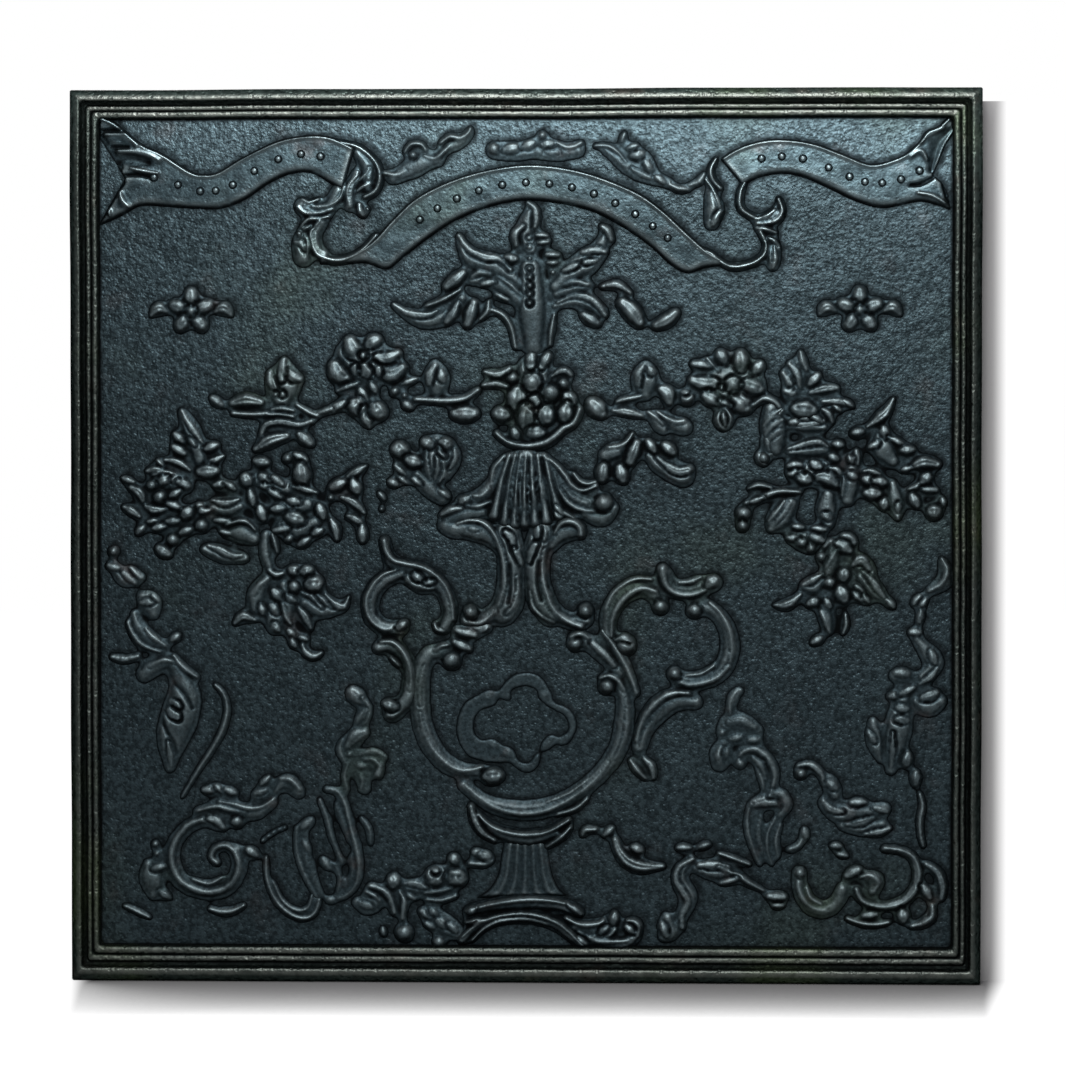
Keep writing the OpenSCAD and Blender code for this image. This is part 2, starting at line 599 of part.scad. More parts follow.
module spray_right() carving(garland_relief, [
  [1.5, 5.5, 4, 72, 364, 64, 358.5, 57, 356],
  [1.5, 4.8, 4, 76, 363, 74, 354, 72, 348],
  [4, 5.2, 4, 54.5, 345, 52, 338.5],
  [4, 5.2, 4, 64, 345.5, 66, 338.5],
  [2.5, 5, 6, 83, 356, 91, 349, 99, 342.5, 106, 341],
  [2, 3.5, 3, 84, 363.5, 91, 358.5],
  [3, 4, 3, 97, 360, 101, 355]
]);

// ---- Bunches of leaves and berries ------------------------------------
module bunch_left() carving(garland_relief, [
  // leaf tips at the top left
  [1.5, 3, 2, -230, 381, -224, 371, -217, 360],
  [1.5, 3, 2, -235.5, 379, -234, 371],
  [2.5, 4, 2.5, -236, 364, -230, 366],
  [2.5, 4.2, 3, -236, 357.5, -229, 353],
  [2.5, 4.6, 2.5, -223, 358, -221, 350],
  [1.8, 3.2, 1.8, -216, 359, -209, 359.5],
  [2, 3.5, 1.2, -214, 348, -207, 350, -202.5, 353],
  [3, 5, 2, -218, 341.5, -208, 342],
  [1.8, 3, 2, -246, 349, -238, 349.5, -230, 345],
  [1.8, 3, 2, -254, 341.5, -245, 342, -236, 340.5],
  [3, 5, 3, -244, 334, -236, 335],
  [4.3, -251.5, 333],
  [1.5, 2.8, 1.5, -271, 339, -264, 336],
  [2.5, 4, 2.5, -265, 331, -260, 326.5],
  [2, 3.4, 2, -257.5, 323, -251, 318, -243, 316.5],
  [1.8, 3, 2, -270, 318, -264, 315.5, -259.5, 312],
  [5, -245, 325],
  [3, 5.5, 3, -235, 325, -225, 328],
  [2, 3.5, 2, -239, 318.5, -231, 318],
  [4.4, -227, 313],
  [2, 3.4, 2, -242, 310, -234, 309],
  [2.2, 3.5, 2.2, -251, 305, -243, 304.5],
  [2.2, 3.6, 2.5, -232, 301, -225, 304],
  [5.2, -217, 306],
  [2.5, 4, 2.5, -219, 319.5, -213, 316.5],
  [2, 4, 2, -210, 333.5, -203, 332.5, -196, 334],
  [2, 4, 1.4, -209, 323, -200, 322, -192, 323],
  [1.5, 3.2, 1.5, -208, 313.5, -200, 313, -193, 315],
  [4.8, -237, 297],
  [2.5, 4, 2.5, -260, 301, -255.5, 304.5],
  [2.5, 4, 2, -246.5, 290, -240.5, 287],
  // broad leaf below
  [1.5, 3.8, 2, -214, 292, -205, 289.5, -196, 285.5],
  // leaves on the right of the bunch
  [1.5, 2.5, 1.5, -204, 304, -195, 307.5, -187, 307, -182, 302],
  [3, 4.2, 3, -180, 349, -172, 348],
  [3.8, -159, 351],
  [3.5, 5.8, 3.5, -150, 350, -149.5, 342, -149, 336],
  [3, 4.8, 3, -177, 338, -171, 336],
  [2.5, 3.8, 2.5, -164, 339, -159, 335],
  [2.5, 4, 2.5, -171, 329, -164, 325.5],
  [2, 2.8, 2, -156, 331, -147, 330, -139, 327],
  [5, -187, 336],
  [2, 3, 2, -185, 328, -182, 321],
  [2, 3.4, 2, -178.5, 317, -175, 311],
  [2.5, 4, 2.5, -168, 317, -163, 318.5],
  [2.5, 4, 2.5, -159, 323, -151, 322],
  [4, 6.5, 4, -160, 312, -150, 311],
  [3.8, -157, 298],
  [1.8, 3.2, 1.8, -168, 302.5, -162, 304],
  [2.5, 4.6, 2.5, -152, 292, -144, 297],
  [3, 4, 3, -141, 301, -137, 303],
  [2.5, 4.5, 2.5, -129, 332, -122, 335],
  [1.8, 3.8, 1.3, -119, 338.5, -113, 342.5, -106.5, 346.5],
  [3, 4.4, 3, -114.5, 332, -112, 328],
  [2.5, 3.8, 1.5, -132, 324.5, -122, 322, -113, 317.5],
  [2, 4.2, 2.5, -119, 311, -112, 306.5, -109, 298.5],
  [2, 3.6, 2.5, -128, 312, -126.5, 304, -126, 297.5],
  [2.5, 4.5, 2.5, -138.5, 318, -136, 311]
]);
module pendant_left() carving(garland_relief * 0.9, [
  [2, 2.6, 2, -172.5, 302, -173.5, 292, -172.5, 282, -168, 275],
  [1.5, 2.4, 1.5, -167.5, 299, -166, 291, -165.5, 285],
  [2, 3.8, 2, -167.5, 270, -165.5, 263.5, -164, 257.5],
  [1.3, 2.2, 1.6, -172, 270, -179.5, 264, -184, 255.5, -183.5, 247.5],
  [1.8, 3.2, 1.8, -193.5, 242.5, -188, 244.5, -183, 242],
  [3, 4.2, 3, -177.5, 254, -175, 248],
  [3, 4, 2.5, -168, 251, -166.5, 244],
  [1.4, 2.3, 1.4, -161, 252, -160, 244, -158, 239.5],
  [4.3, -154.5, 266], [3.4, -154.5, 257.5],
  [1.8, 3, 1.8, -150, 249.5, -146.5, 243.5, -143.5, 238.5],
  [2, 3.2, 2, -146.5, 233.5, -150, 229],
  [3, 4, 3, -151, 276, -144.5, 275],
  [5.8, -140.5, 267],
  [3, 5.2, 1.3, -147, 256.5, -138, 252.5, -128, 251, -121, 252, -117.5, 257],
  [2.5, 3.8, 2, -159.5, 236, -156, 229],
  [1.3, 2.4, 1.3, -148, 224, -145.5, 219, -140.5, 217.5, -136, 220],
  [1.3, 2.2, 1.2, -164, 238.5, -169.5, 236.5, -172, 231]
]);
module bunch_right() carving(garland_relief, [
  [4.2, 225, 368],
  [2, 3.4, 1, 231, 374, 239, 380, 245, 386, 247.5, 391.5],
  [2.5, 3.8, 2.5, 239.5, 372, 241.5, 366.5],
  [2, 3, 2, 246, 364.5, 252, 361],
  [2, 3.4, 2, 231.5, 359, 238, 362.5],
  [2, 3.8, 2, 253.5, 357.5, 260, 356],
  [5, 8.5, 5, 234, 350.5, 243, 351, 251, 348.5],
  [4, 5.2, 3, 263, 346.5, 270, 347, 276, 345.5],
  [2, 3.4, 2, 264, 338.5, 268, 334.5],
  [1.5, 2.6, 1.3, 257, 331.5, 263, 333.5],
  [1.8, 3, 1.8, 269, 330, 275, 330.5],
  [2.8, 4.6, 3, 260, 325.5, 262, 319],
  [1.8, 2.8, 1.8, 277, 325, 279.5, 320.5],
  [3.5, 5, 3.5, 271.5, 316.5, 276, 313],
  [1.8, 3, 1.8, 228.5, 342.5, 237, 341],
  [2.5, 3.6, 2.5, 233.5, 336.5, 240.5, 335],
  [2.8, 4.2, 2.8, 229.5, 327.5, 236.5, 328],
  [2.8, 4.2, 2.5, 241, 325, 241, 317.5],
  [1.8, 3.4, 1.6, 248, 325, 250.5, 316],
  [3, 4.6, 3, 179.5, 357.5, 189, 357.5, 199.5, 358.5],
  [3, 3.8, 2.8, 204.5, 352, 209.5, 350],
  [2.3, 3.6, 1.8, 178.5, 346, 184.5, 347.5],
  [2.8, 4.4, 2.8, 191.5, 347, 197.5, 344],
  [2.2, 3.2, 1.8, 178.5, 340, 185, 341],
  [2.8, 4.4, 2.5, 182, 334.5, 190, 335.5],
  [3, 5, 3, 199.5, 338, 207.5, 334],
  [2, 3.4, 1.8, 206, 344, 212, 342],
  [2.5, 4.4, 2.5, 219.5, 355, 222.5, 347.5],
  [4.5, 7, 4.5, 220.5, 339, 217.5, 331],
  [2.5, 4, 2.5, 192, 328.5, 197, 325],
  // bent leaf at the lower left
  [1.5, 2.6, 1.5, 150.5, 328.5, 158.5, 331.5, 166, 332.5],
  [2, 3.2, 2, 153, 321.5, 161, 325.5, 171, 328, 181, 327.5],
  [2, 4, 2.5, 181, 321.5, 178, 315.5],
  [1.5, 3, 1.5, 163, 318.5, 171, 321],
  [3.5, 5.8, 3.5, 177, 310.5, 171, 307, 166.5, 302.5],
  [3.5, 5.2, 3.5, 148, 319, 147, 311.5, 146, 305],
  [1.5, 1.9, 1.5, 211, 320, 211, 310, 211.5, 301.5]
]);
module pendant_right() carving(garland_relief * 0.9, [
  [2.5, 4, 2.5, 178, 297.5, 184, 298],
  [3.6, 187, 293.5], [3.2, 191.5, 288.5],
  [2.8, 4, 2.8, 192, 298, 197.5, 295.5],
  [2, 3.6, 2, 200.5, 290.5, 206.5, 295.5],
  [2.3, 3.8, 2.3, 213.5, 300, 219.5, 296.5],
  [2, 3.6, 2, 211.5, 294.5, 218, 288.5],
  [2.8, 4.6, 2.8, 208, 288, 206, 280],
  [2.8, 4.2, 2.8, 198, 286.5, 196, 281],
  [2.8, 4.6, 2.8, 222, 283, 227, 278.5],
  [2, 3.6, 1.2, 229, 274, 235, 268, 240.5, 259.5],
  [2.5, 4.2, 2.5, 222, 268.5, 226, 261],
  [1.8, 2.8, 1.6, 244, 257.5, 248, 252],
  [5.2, 213, 273.5], [4.8, 204, 267.5],
  [4, 5.8, 4, 212.5, 263.5, 215, 257.5],
  [2, 3.2, 1.8, 197.5, 273, 188, 267],
  [1.6, 3.2, 1.8, 169, 253, 177.5, 254, 185, 259],
  [4, 193.5, 254.5], [4.2, 203, 254.5],
  [2, 3, 2, 199.5, 247, 202, 239, 204, 230],
  [1, 1.6, 1, 215, 243.5, 216, 238, 213.5, 232.5],
  [5.4, 195, 226]
]);

// ---- Scrolls at the sides and in the corners --------------------------
module side_scroll_left() carving(scroll_relief, [
  [4.3, -276.5, 288.5],
  [2.5, 3.6, 2.5, -280, 279.5, -273, 276.5],
  [3, 4.2, 3, -271, 271.5, -265.5, 267.5],
  [2, 3, 2, -263.5, 277.5, -258, 271.5],
  [3, 4.8, 3, -257, 256.5, -250, 256.5],
  [1.8, 3.2, 1.8, -266.5, 241, -262.5, 232, -255.5, 225.5, -247, 222.5],
  [1.8, 3, 1.8, -259.5, 245, -256, 236.5, -249.5, 230, -242.5, 226.5],
  [2.5, 3.4, 2.5, -237, 229, -233, 233],
  [1.6, 2.6, 1.6, -278, 217.5, -270, 216.5, -262, 217],
  [2.2, 3.2, 3, -237, 216, -245, 214.5, -252, 211],
  [5, -256, 205],
  [1.8, 3, 1.2, -233, 215, -227, 208, -220, 203],
  [1.2, 2.4, 1, -245, 203, -236, 197, -229, 190, -225, 184],
  [2.5, 4, 2.5, -239.5, 186, -234, 180.5],
  [1.8, 3, 1, -240, 160, -238.5, 151, -237.5, 143],
  [1.1, 1.6, 1.1, -207, 199, -202, 192, -201, 182, -204, 172, -209, 161, -215, 150],
  [1.1, 1.5, 1, -220, 141, -226, 131, -231, 121]
]);
module side_scroll_right() carving(scroll_relief, [
  [1.6, 3, 2.4, 278.5, 284, 281.6, 277, 281.6, 270, 277.5, 263.5, 270, 260.5],
  [2.2, 4, 2.4, 261.5, 254.5, 267, 257.5],
  [2.5, 2.8, 2.2, 266, 249, 264.5, 242.5],
  [2.2, 3.4, 2.6, 258, 234, 264.5, 235.5],
  [2, 3.2, 2, 262, 229, 266, 223],
  [3, 4, 2.2, 273, 222, 275.5, 214.5, 272, 207, 264.5, 201.5],
  [4.6, 253, 206.5],
  [2.2, 3.6, 2.4, 246.5, 193, 254, 192.5],
  [2, 3.2, 2, 249, 185, 256, 184.5],
  [2, 3, 2, 248.5, 177, 256, 176],
  [3, 5.5, 3, 262, 188, 270, 187.5, 278, 190.5],
  [2, 5, 2, 250, 169, 247, 157, 245.5, 145],
  [2.8, 4.2, 2.8, 256.5, 152.5, 256, 146.5],
  [2.2, 3.4, 2, 262, 141, 261.5, 134],
  [1.3, 2, 1.2, 264.5, 127, 266.5, 119, 265, 110, 265, 101, 267, 92]
]);
module corner_scroll_left() carving(scroll_relief, [
  // spiral
  [3, 4.4, 2.5, -205, 105.5, -215, 107.5, -226, 104, -234, 96, -237.5, 85, -236, 74, -230,
   65, -220.5, 59.5, -210, 59, -200.5, 63, -194, 71.5, -193, 81, -197, 88.5],
  [2, 2.5, 2, -203, 89.5, -208.5, 86, -208.5, 79.5],
  // band above it
  [2.5, 3.4, 2.4, -228, 112.5, -216, 117, -203, 118, -192, 114, -181, 114, -173.5, 119],
  [3, 4.2, 3, -180.5, 124.5, -175, 128],
  [4.4, -194.5, 106.5],
  [2, 3.4, 2, -216, 129, -208, 129],
  [2, 3.2, 2, -201, 128.5, -195, 126],
  [2, 3, 2, -168, 129, -162, 135.5, -155, 133.5, -151.5, 127],
  [1.4, 2.2, 1.4, -176, 133, -171.5, 138],
  // leaves at the left
  [3.6, -249, 90.5],
  [2, 3.6, 2, -252, 77, -245, 76],
  [2.5, 5, 2.5, -246, 60, -239, 55],
  [1.2, 1.8, 1.2, -212, 48, -204, 46, -196, 47, -189, 50.5],
  [1, 1.5, 1, -270, 50, -261, 46, -253, 42],
  [2.5, 4.2, 2.5, -185, 88, -180, 84],
  [1.4, 2.4, 1.4, -178, 93.5, -171, 98, -164, 102],
  [1.3, 2.6, 1.8, -177, 65, -173.5, 54, -166, 46.5, -156, 42, -146.5, 42]
]);
module corner_scroll_right() carving(scroll_relief, [
  // cup of the lower scroll
  [5, 184, 73.5],
  [3, 4, 3, 183.5, 65, 187, 55.5, 194, 49.5, 202.5, 49.5, 209, 55, 212, 63],
  [2.5, 4, 2.5, 217, 72, 224, 76],
  // large ring and its knob
  [5.5, 233, 67.5],
  [2.2, 3.2, 2.2, 222.5, 63, 226, 56, 234, 52.5, 244, 52, 254, 55.5, 261.5, 64, 263.5, 75, 260,
   84.5, 252, 89, 241, 90.5],
  // leaves under it
  [2, 3.2, 2, 227.5, 45.5, 235.5, 46.5],
  [1, 1.5, 1, 216, 43.5, 225, 40.5, 235, 39.5, 244, 41],
  // outer ring
  [2.5, 3.4, 2, 270, 78.5, 276.5, 73.5, 279.5, 65.5, 279, 57],
  [2.6, 4, 2.6, 267, 65, 271, 60.5],
  [1.4, 2.4, 1.4, 273, 52, 272.5, 45, 266.5, 40.5, 259, 38.5],
  [3.2, 4.4, 2.8, 253, 48, 253.5, 42.5],
  // sprig above
  [4.3, 184.5, 141.5],
  [2, 3, 2.5, 189, 147, 195.5, 143.5, 199.5, 137],
  [3, 4.6, 3, 204.5, 134.5, 208, 129],
  [3, 4.6, 2.5, 201.5, 121.5, 207, 115.5, 215, 114],
  [2, 3, 1.8, 219, 121, 228, 121.5],
  [2.2, 3.4, 1.8, 233.5, 117.5, 243, 115.5],
  [2.8, 4.6, 2, 216, 105.5, 225, 106.5, 234, 109],
  [1.5, 2.8, 1.4, 229.5, 100, 238, 101.5, 244.5, 104],
  [2, 2.8, 2, 206, 92, 211.5, 92],
  [1.5, 2.2, 1.4, 210.5, 86.5, 216, 85.5]
]);
module leaf_group_left() carving(scroll_relief, [
  // knobs climbing beside the bowl
  [4, 5.4, 4, -115.5, 196, -111.5, 191],
  [2.4, 3.6, 2.4, -107, 183.5, -109, 176.5],
  [3.5, 6, 3.5, -110, 166, -117, 161.5],
  [1.8, 3, 1.5, -119, 151.5, -108, 153.5, -98, 152, -92.5, 150.5],
  [2.5, 4.6, 2.5, -115, 144, -107, 143.5],
  [2.5, 4, 2.5, -100, 143, -98, 140],
  [1.5, 3.6, 1.5, -117, 136, -114, 129.5],
  // tall leaves
  [2.5, 4.5, 2.5, -130.5, 127, -123, 116, -118.5, 103, -115, 88, -114, 73, -119, 60],
  [2, 3.2, 1.5, -137, 122, -134, 108, -131.5, 95, -126.5, 82],
  [2.5, 5, 2.5, -147.5, 104, -148, 90, -145.5, 75, -140.5, 61],
  [2, 3, 2, -135.5, 82, -131.5, 75],
  [1.2, 2, 1.2, -108, 110, -104.5, 102, -104, 92],
  [3.2, -131, 54.5]
]);
module leaf_group_right() carving(scroll_relief, [
  [3.5, 5, 3, 145, 195.5, 142.5, 188.5, 140.5, 184],
  [2.8, 4.2, 2.8, 137, 175.5, 145, 177, 152.5, 172.5],
  [3.4, 133.5, 167.5],
  [2, 3.2, 2, 152.5, 164.5, 158, 162.5],
  [2.5, 3.8, 2.5, 138, 163.5, 144, 165.5],
  [4.5, 6.5, 4.5, 131, 156, 129.5, 148],
  [3, 4.6, 3, 149.5, 155, 144, 149.5],
  [3.5, 5, 3.5, 157.5, 153.5, 162.5, 145, 163.5, 136],
  [2.5, 3.8, 2.5, 156, 121.5, 163, 125.5],
  [4, 5.6, 3.5, 171, 122, 168.5, 115],
  // hanging leaf
  [3, 6.5, 2.5, 158, 108, 156.5, 96, 156.5, 84],
  [1.4, 2, 1.2, 166.5, 107, 165, 98, 165.5, 88, 167.5, 79],
  [1.1, 1.6, 1, 172, 101, 171.5, 91, 173, 82],
  [2.5, 3.6, 2.5, 186.5, 102.5, 188.5, 96.5],
  [2, 3.2, 2, 177.5, 87.5, 183, 91]
]);

// ---- Sprays along the bottom ------------------------------------------
module base_spray_left() carving(scroll_relief, [
  [3.8, -89, 66.5],
  [1.5, 2.2, 1.5, -104, 62, -97, 60.5, -92, 56, -89, 49.5, -87, 43],
  [1.8, 3, 1.6, -83, 64, -75, 65.5, -67, 64],
  [1.4, 2.4, 1.4, -72, 58.5, -62, 60, -52, 61],
  [1.2, 2, 1.2, -62, 54.5, -52, 54.5, -45, 57.5],
  [3, 4.4, 3, -60, 75.5, -58, 69],
  [2.3, 3.4, 2.3, -48.5, 83.5, -47.5, 79],
  [4, 6, 4, -46, 73.5, -44.5, 68.5],
  [1.4, 2, 1.4, -37, 78.5, -29, 79, -22.5, 80.5],
  [3, 4, 2.5, -30, 85.5, -24.5, 85],
  [2.8, 4.4, 2.8, -112, 54, -105, 51.5],
  [1.4, 2.2, 1.4, -81, 57, -81, 50, -81.5, 43],
  [1.4, 2.2, 1.4, -78, 60, -73, 55],
  [5.8, -81, 32.5],
  [1, 1.8, 1, -96, 34, -93.5, 30],
  [3, 4.6, 3, -68, 45, -61, 41],
  [3, 4.4, 3, -55, 37.5, -51, 33],
  [4, -58, 26]
]);
module base_spray_right() carving(scroll_relief, [
  [1.3, 2, 1.6, 39, 98.5, 41, 102, 48, 102.5],
  [1.8, 2.8, 1.8, 54, 99, 59, 103.5],
  [3, 5, 1.8, 61, 95.5, 64, 87.5, 70, 81, 78, 78, 86, 77.5, 93, 78],
  [2.4, 3.6, 2.2, 73, 90.5, 78, 88.5],
  // S stem
  [2, 3.4, 2.4, 110, 80, 103.5, 74.5, 102.5, 67, 107, 59.5, 108, 52, 104.5, 45, 103.5, 38],
  [3.5, 5.5, 3.5, 92.5, 39, 95, 31],
  // long twig
  [1.4, 2.2, 1, 117, 80.5, 129, 78, 141, 73, 151, 67, 160, 62],
  [1.4, 2.6, 1.4, 105, 90.5, 111, 90.5],
  [1.3, 2.2, 1.3, 117.5, 91, 123.5, 92.5],
  [1.3, 2.4, 1.2, 132, 66.5, 140, 68.5],
  [2.2, 3.6, 2.2, 166, 57, 173, 57.5]
]);

// ---- Assembly ---------------------------------------------------------
back_plate();
border_top();
border_bottom();
border_left();
border_right();
bead_top();
bead_bottom();
bead_left();
bead_right();
ribbon_left();
ribbon_arch();
ribbon_right();
ribbon_knot_left();
ribbon_knot_right();
pellets_left();
pellets_arch();
pellets_right();
crest_left();
crest_centre();
crest_right();
rosette_left();
rosette_right();
plume();
flower_cluster();
shell_lid();
neck_scroll_left();
neck_scroll_right();
bowl_scrolls();
bowl_dish();
cartouche();
stem();
foot_arch();
foot_scroll();
handle_left();
handle_right();
branch_left();
branch_right();
spray_left();
spray_right();
bunch_left();
bunch_right();
pendant_left();
pendant_right();
side_scroll_left();
side_scroll_right();
corner_scroll_left();
corner_scroll_right();
leaf_group_left();
leaf_group_right();
base_spray_left();
base_spray_right();
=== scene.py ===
# %% [markdown]
# # A cast-iron fireback
# A fireback is an iron plate that stands at the back of a hearth and throws the heat forward.
# The pattern for it was a flat board with mouldings mitred round the edge and carved ornament
# pinned to its face. The pattern was pressed into damp sand and iron was poured into the hollow,
# so every edge is a little soft and the whole face carries the grain of the sand.
#
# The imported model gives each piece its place. This script builds the same pieces again with the
# shapes that sand casting gives them, and then makes the blackened iron they are cast in.

# %% Load the frame
import math
import bpy
import numpy as np
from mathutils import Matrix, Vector


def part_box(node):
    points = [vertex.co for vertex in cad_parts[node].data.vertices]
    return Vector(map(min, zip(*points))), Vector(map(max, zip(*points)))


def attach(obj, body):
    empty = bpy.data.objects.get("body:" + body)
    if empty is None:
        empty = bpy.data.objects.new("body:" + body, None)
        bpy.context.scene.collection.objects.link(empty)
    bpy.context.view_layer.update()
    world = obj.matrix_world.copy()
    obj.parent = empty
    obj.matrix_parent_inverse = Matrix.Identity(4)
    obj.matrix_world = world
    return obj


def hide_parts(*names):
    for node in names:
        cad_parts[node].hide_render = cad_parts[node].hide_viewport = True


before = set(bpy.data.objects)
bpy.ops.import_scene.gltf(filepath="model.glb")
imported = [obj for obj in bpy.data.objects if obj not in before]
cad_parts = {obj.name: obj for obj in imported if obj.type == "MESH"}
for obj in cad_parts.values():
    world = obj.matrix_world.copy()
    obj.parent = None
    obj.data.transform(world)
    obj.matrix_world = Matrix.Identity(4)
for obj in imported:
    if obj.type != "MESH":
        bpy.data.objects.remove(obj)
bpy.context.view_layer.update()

MM = 0.001
plate_low, plate_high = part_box("back_plate")
HALF_W = plate_high.x / MM             # half the plate's width, in mm
HEIGHT = plate_high.z / MM
FACE_Y = plate_low.y / MM              # the ground's face, where all the relief starts
BACK_Y = plate_high.y / MM
BORDER_W = HALF_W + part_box("bead_left")[1].x / MM

def new_object(name, data):
    """An object in the scene that holds the given mesh, curve, lamp or camera."""
    made = bpy.data.objects.new(name, data)
    bpy.context.scene.collection.objects.link(made)
    return made

print(f"plate {2 * HALF_W:.0f} x {HEIGHT:.0f} mm, face at y = {FACE_Y:.1f} mm")
print(f"border {BORDER_W:.1f} mm wide")

# %% [markdown]
# ## The camera
# The photograph was taken almost square on. Its four corners are nearly a rectangle, and the
# right edge is a hair taller than the left, so the camera stands a little to the right and looks
# back to the left. A long lens at 2.6 m gives that flat look. The camera comes before the pieces.

# %% Camera
def aim(camera, place, turn_left, tip_down, lens):
    """Stands a camera at a place, facing +Y, then turns it left and tips it down, in degrees."""
    camera.location = place
    camera.rotation_euler = (math.radians(90 - tip_down), 0, math.radians(turn_left))
    camera.data.lens = lens

camera = new_object("camera", bpy.data.cameras.new("camera"))
camera.data.sensor_width = 36
aim(camera, (0.106, -2.6, 0.354), turn_left=2.21, tip_down=1.165, lens=131.2)
bpy.context.scene.camera = camera
print("camera", tuple(round(v, 3) for v in camera.location))

# %% [markdown]
# ## Floor, backdrop and lamps
# The plate is shown on white with a soft grey shadow under it and along its right side. A pale
# floor runs out in front, and a small pale sheet hangs just behind the right edge to carry the side
# shadow. Both glow white for the camera, and the shadow is mostly painted into that glow: it dims
# where ambient occlusion finds the plate close by. The sheet is only there for the camera and only
# from the front: rays that light the iron pass through it, so the back of the plate is not left in
# the dark, and it disappears when the camera goes round behind.
#
# Dark iron shows its shape by what it reflects. Two compact softboxes high in front give the sheen
# that fades down the plate, and a painted sheen in the iron's colour makes the top lighter still.
# The upper side of every moulding catches them as a thin bright line, which a painted highlight on
# the crests makes brighter, most of all along the top.
#
# Every material and node tree is built with the same few helpers: they make a node with its
# settings, a Math node or a smooth ramp, and they join nodes.

# %% Node helpers
def node(tree, kind, fixed=(), **settings):
    """A new node. The settings are its own properties, or its inputs by name with _ for a space;
    `fixed` holds the number and the value of further inputs."""
    made = tree.nodes.new(kind)
    for key, value in settings.items():
        if hasattr(made, key):
            setattr(made, key, value)
        else:
            made.inputs[key.replace("_", " ")].default_value = value
    for number, value in fixed:
        made.inputs[number].default_value = value
    return made

def maths(tree, operation, number=None, **settings):
    """A Math node; `number` is its second value, where that one is fixed."""
    fixed = [] if number is None else [(1, number)]
    return node(tree, "ShaderNodeMath", fixed, operation=operation, **settings)

def ramp(tree, low, high, **settings):
    """Maps low..high to 0..1, smoothly."""
    return node(tree, "ShaderNodeMapRange", interpolation_type="SMOOTHSTEP",
                From_Min=low, From_Max=high, **settings)

def wire(tree, *wires):
    """Joins nodes. Each wire is a node and its output, then a node and its input."""
    for source, output, target, entry in wires:
        tree.links.new(source.outputs[output], target.inputs[entry])

# %% Stage helpers
def new_material(name):
    """An empty node material: returns it with its node tree and its output node."""
    material = bpy.data.materials.new(name)
    material.use_nodes = True
    tree = material.node_tree
    tree.nodes.clear()
    return material, tree, node(tree, "ShaderNodeOutputMaterial")

def flat_sheet(name, corners, material):
    mesh = bpy.data.meshes.new(name)
    mesh.from_pydata(corners, [], [(0, 1, 2, 3)])
    mesh.materials.append(material)
    new_object(name, mesh)

# %% Floor and backdrop
SHADOW_ENDS = (0.299, 0.317)    # m to either side, where the shadow dies away
SHADOW_MIDDLE = 0.008           # m; the light comes a little from the left
SHADOW_TAPER = -0.15            # the shadow draws in towards the front

def white_with_painted_shadow(name, towards, reach, dark, one_sided=False):
    """White that glows for the camera, with a soft shadow painted into the glow where it meets the
    plate: the glow dims where ambient occlusion finds the plate near. `towards` tips the painted
    shadow to one side, `reach` is how far it spreads, `dark` is how deep it gets. It fades out just
    past the plate's corners. One-sided paint is only there for the camera."""
    material, tree, out = new_material(name)
    paint = node(tree, "ShaderNodeBsdfDiffuse", Color=(0.86, 0.86, 0.86, 1))
    # the camera sees a dark paint, so that the glow, dimmed near the plate, paints the shadow
    seen_paint = node(tree, "ShaderNodeBsdfDiffuse", Color=(0.09, 0.09, 0.095, 1))
    glow, place = node(tree, "ShaderNodeEmission"), node(tree, "ShaderNodeNewGeometry")
    tipped = node(tree, "ShaderNodeVectorMath", [(1, towards)], operation="ADD")
    corner = node(tree, "ShaderNodeAmbientOcclusion", samples=24, Distance=reach)
    depth, strength = maths(tree, "POWER", dark), maths(tree, "MAXIMUM")
    across, past = node(tree, "ShaderNodeSeparateXYZ"), ramp(tree, *SHADOW_ENDS)
    middle, outward = maths(tree, "SUBTRACT", SHADOW_MIDDLE), maths(tree, "ABSOLUTE")
    narrower = maths(tree, "MULTIPLY_ADD", SHADOW_TAPER)
    wire(tree, (place, "Normal", tipped, 0), (tipped, 0, corner, "Normal"),
         (place, "Position", across, 0), (across, "X", middle, 0), (middle, 0, outward, 0),
         (across, "Y", narrower, 0), (outward, 0, narrower, 2), (narrower, 0, past, "Value"),
         (corner, "AO", depth, 0), (depth, 0, strength, 0), (past, "Result", strength, 1),
         (strength, 0, glow, "Strength"))
    lift, both = node(tree, "ShaderNodeAddShader"), node(tree, "ShaderNodeMixShader")
    seen = node(tree, "ShaderNodeLightPath")
    wire(tree, (seen_paint, 0, lift, 0), (glow, 0, lift, 1), (lift, 0, both, 2),
         (both, 0, out, 0))
    if one_sided:
        clear = node(tree, "ShaderNodeBsdfTransparent")
        front = maths(tree, "SUBTRACT", use_clamp=True)
        wire(tree, (seen, "Is Camera Ray", front, 0), (place, "Backfacing", front, 1),
             (front, 0, both, 0), (clear, 0, both, 1))
    else:
        wire(tree, (seen, "Is Camera Ray", both, 0), (paint, 0, both, 1))
    return material

FLOOR = 6.0                             # m from the middle to each edge
SHEET_Y = 0.0142                        # m, just behind the plate
SHEET_W, SHEET_H = 0.36, 0.59           # m, from the plate's middle and from the floor

floor_paint = white_with_painted_shadow("floor_paint", (-0.7, 0.8, 0), 0.17, 3.4)
flat_sheet("floor", [(FLOOR * x, FLOOR * y, 0) for x, y in ((-1, -1), (1, -1), (1, 1), (-1, 1))],
           floor_paint)
sheet_paint = white_with_painted_shadow("sheet_paint", (-1.3, 0, 0.5), 0.03, 3.0, one_sided=True)
flat_sheet("backdrop", [(SHEET_W * x, SHEET_Y, SHEET_H * z)
                        for x, z in ((0, 0), (1, 0), (1, 1), (0, 1))], sheet_paint)

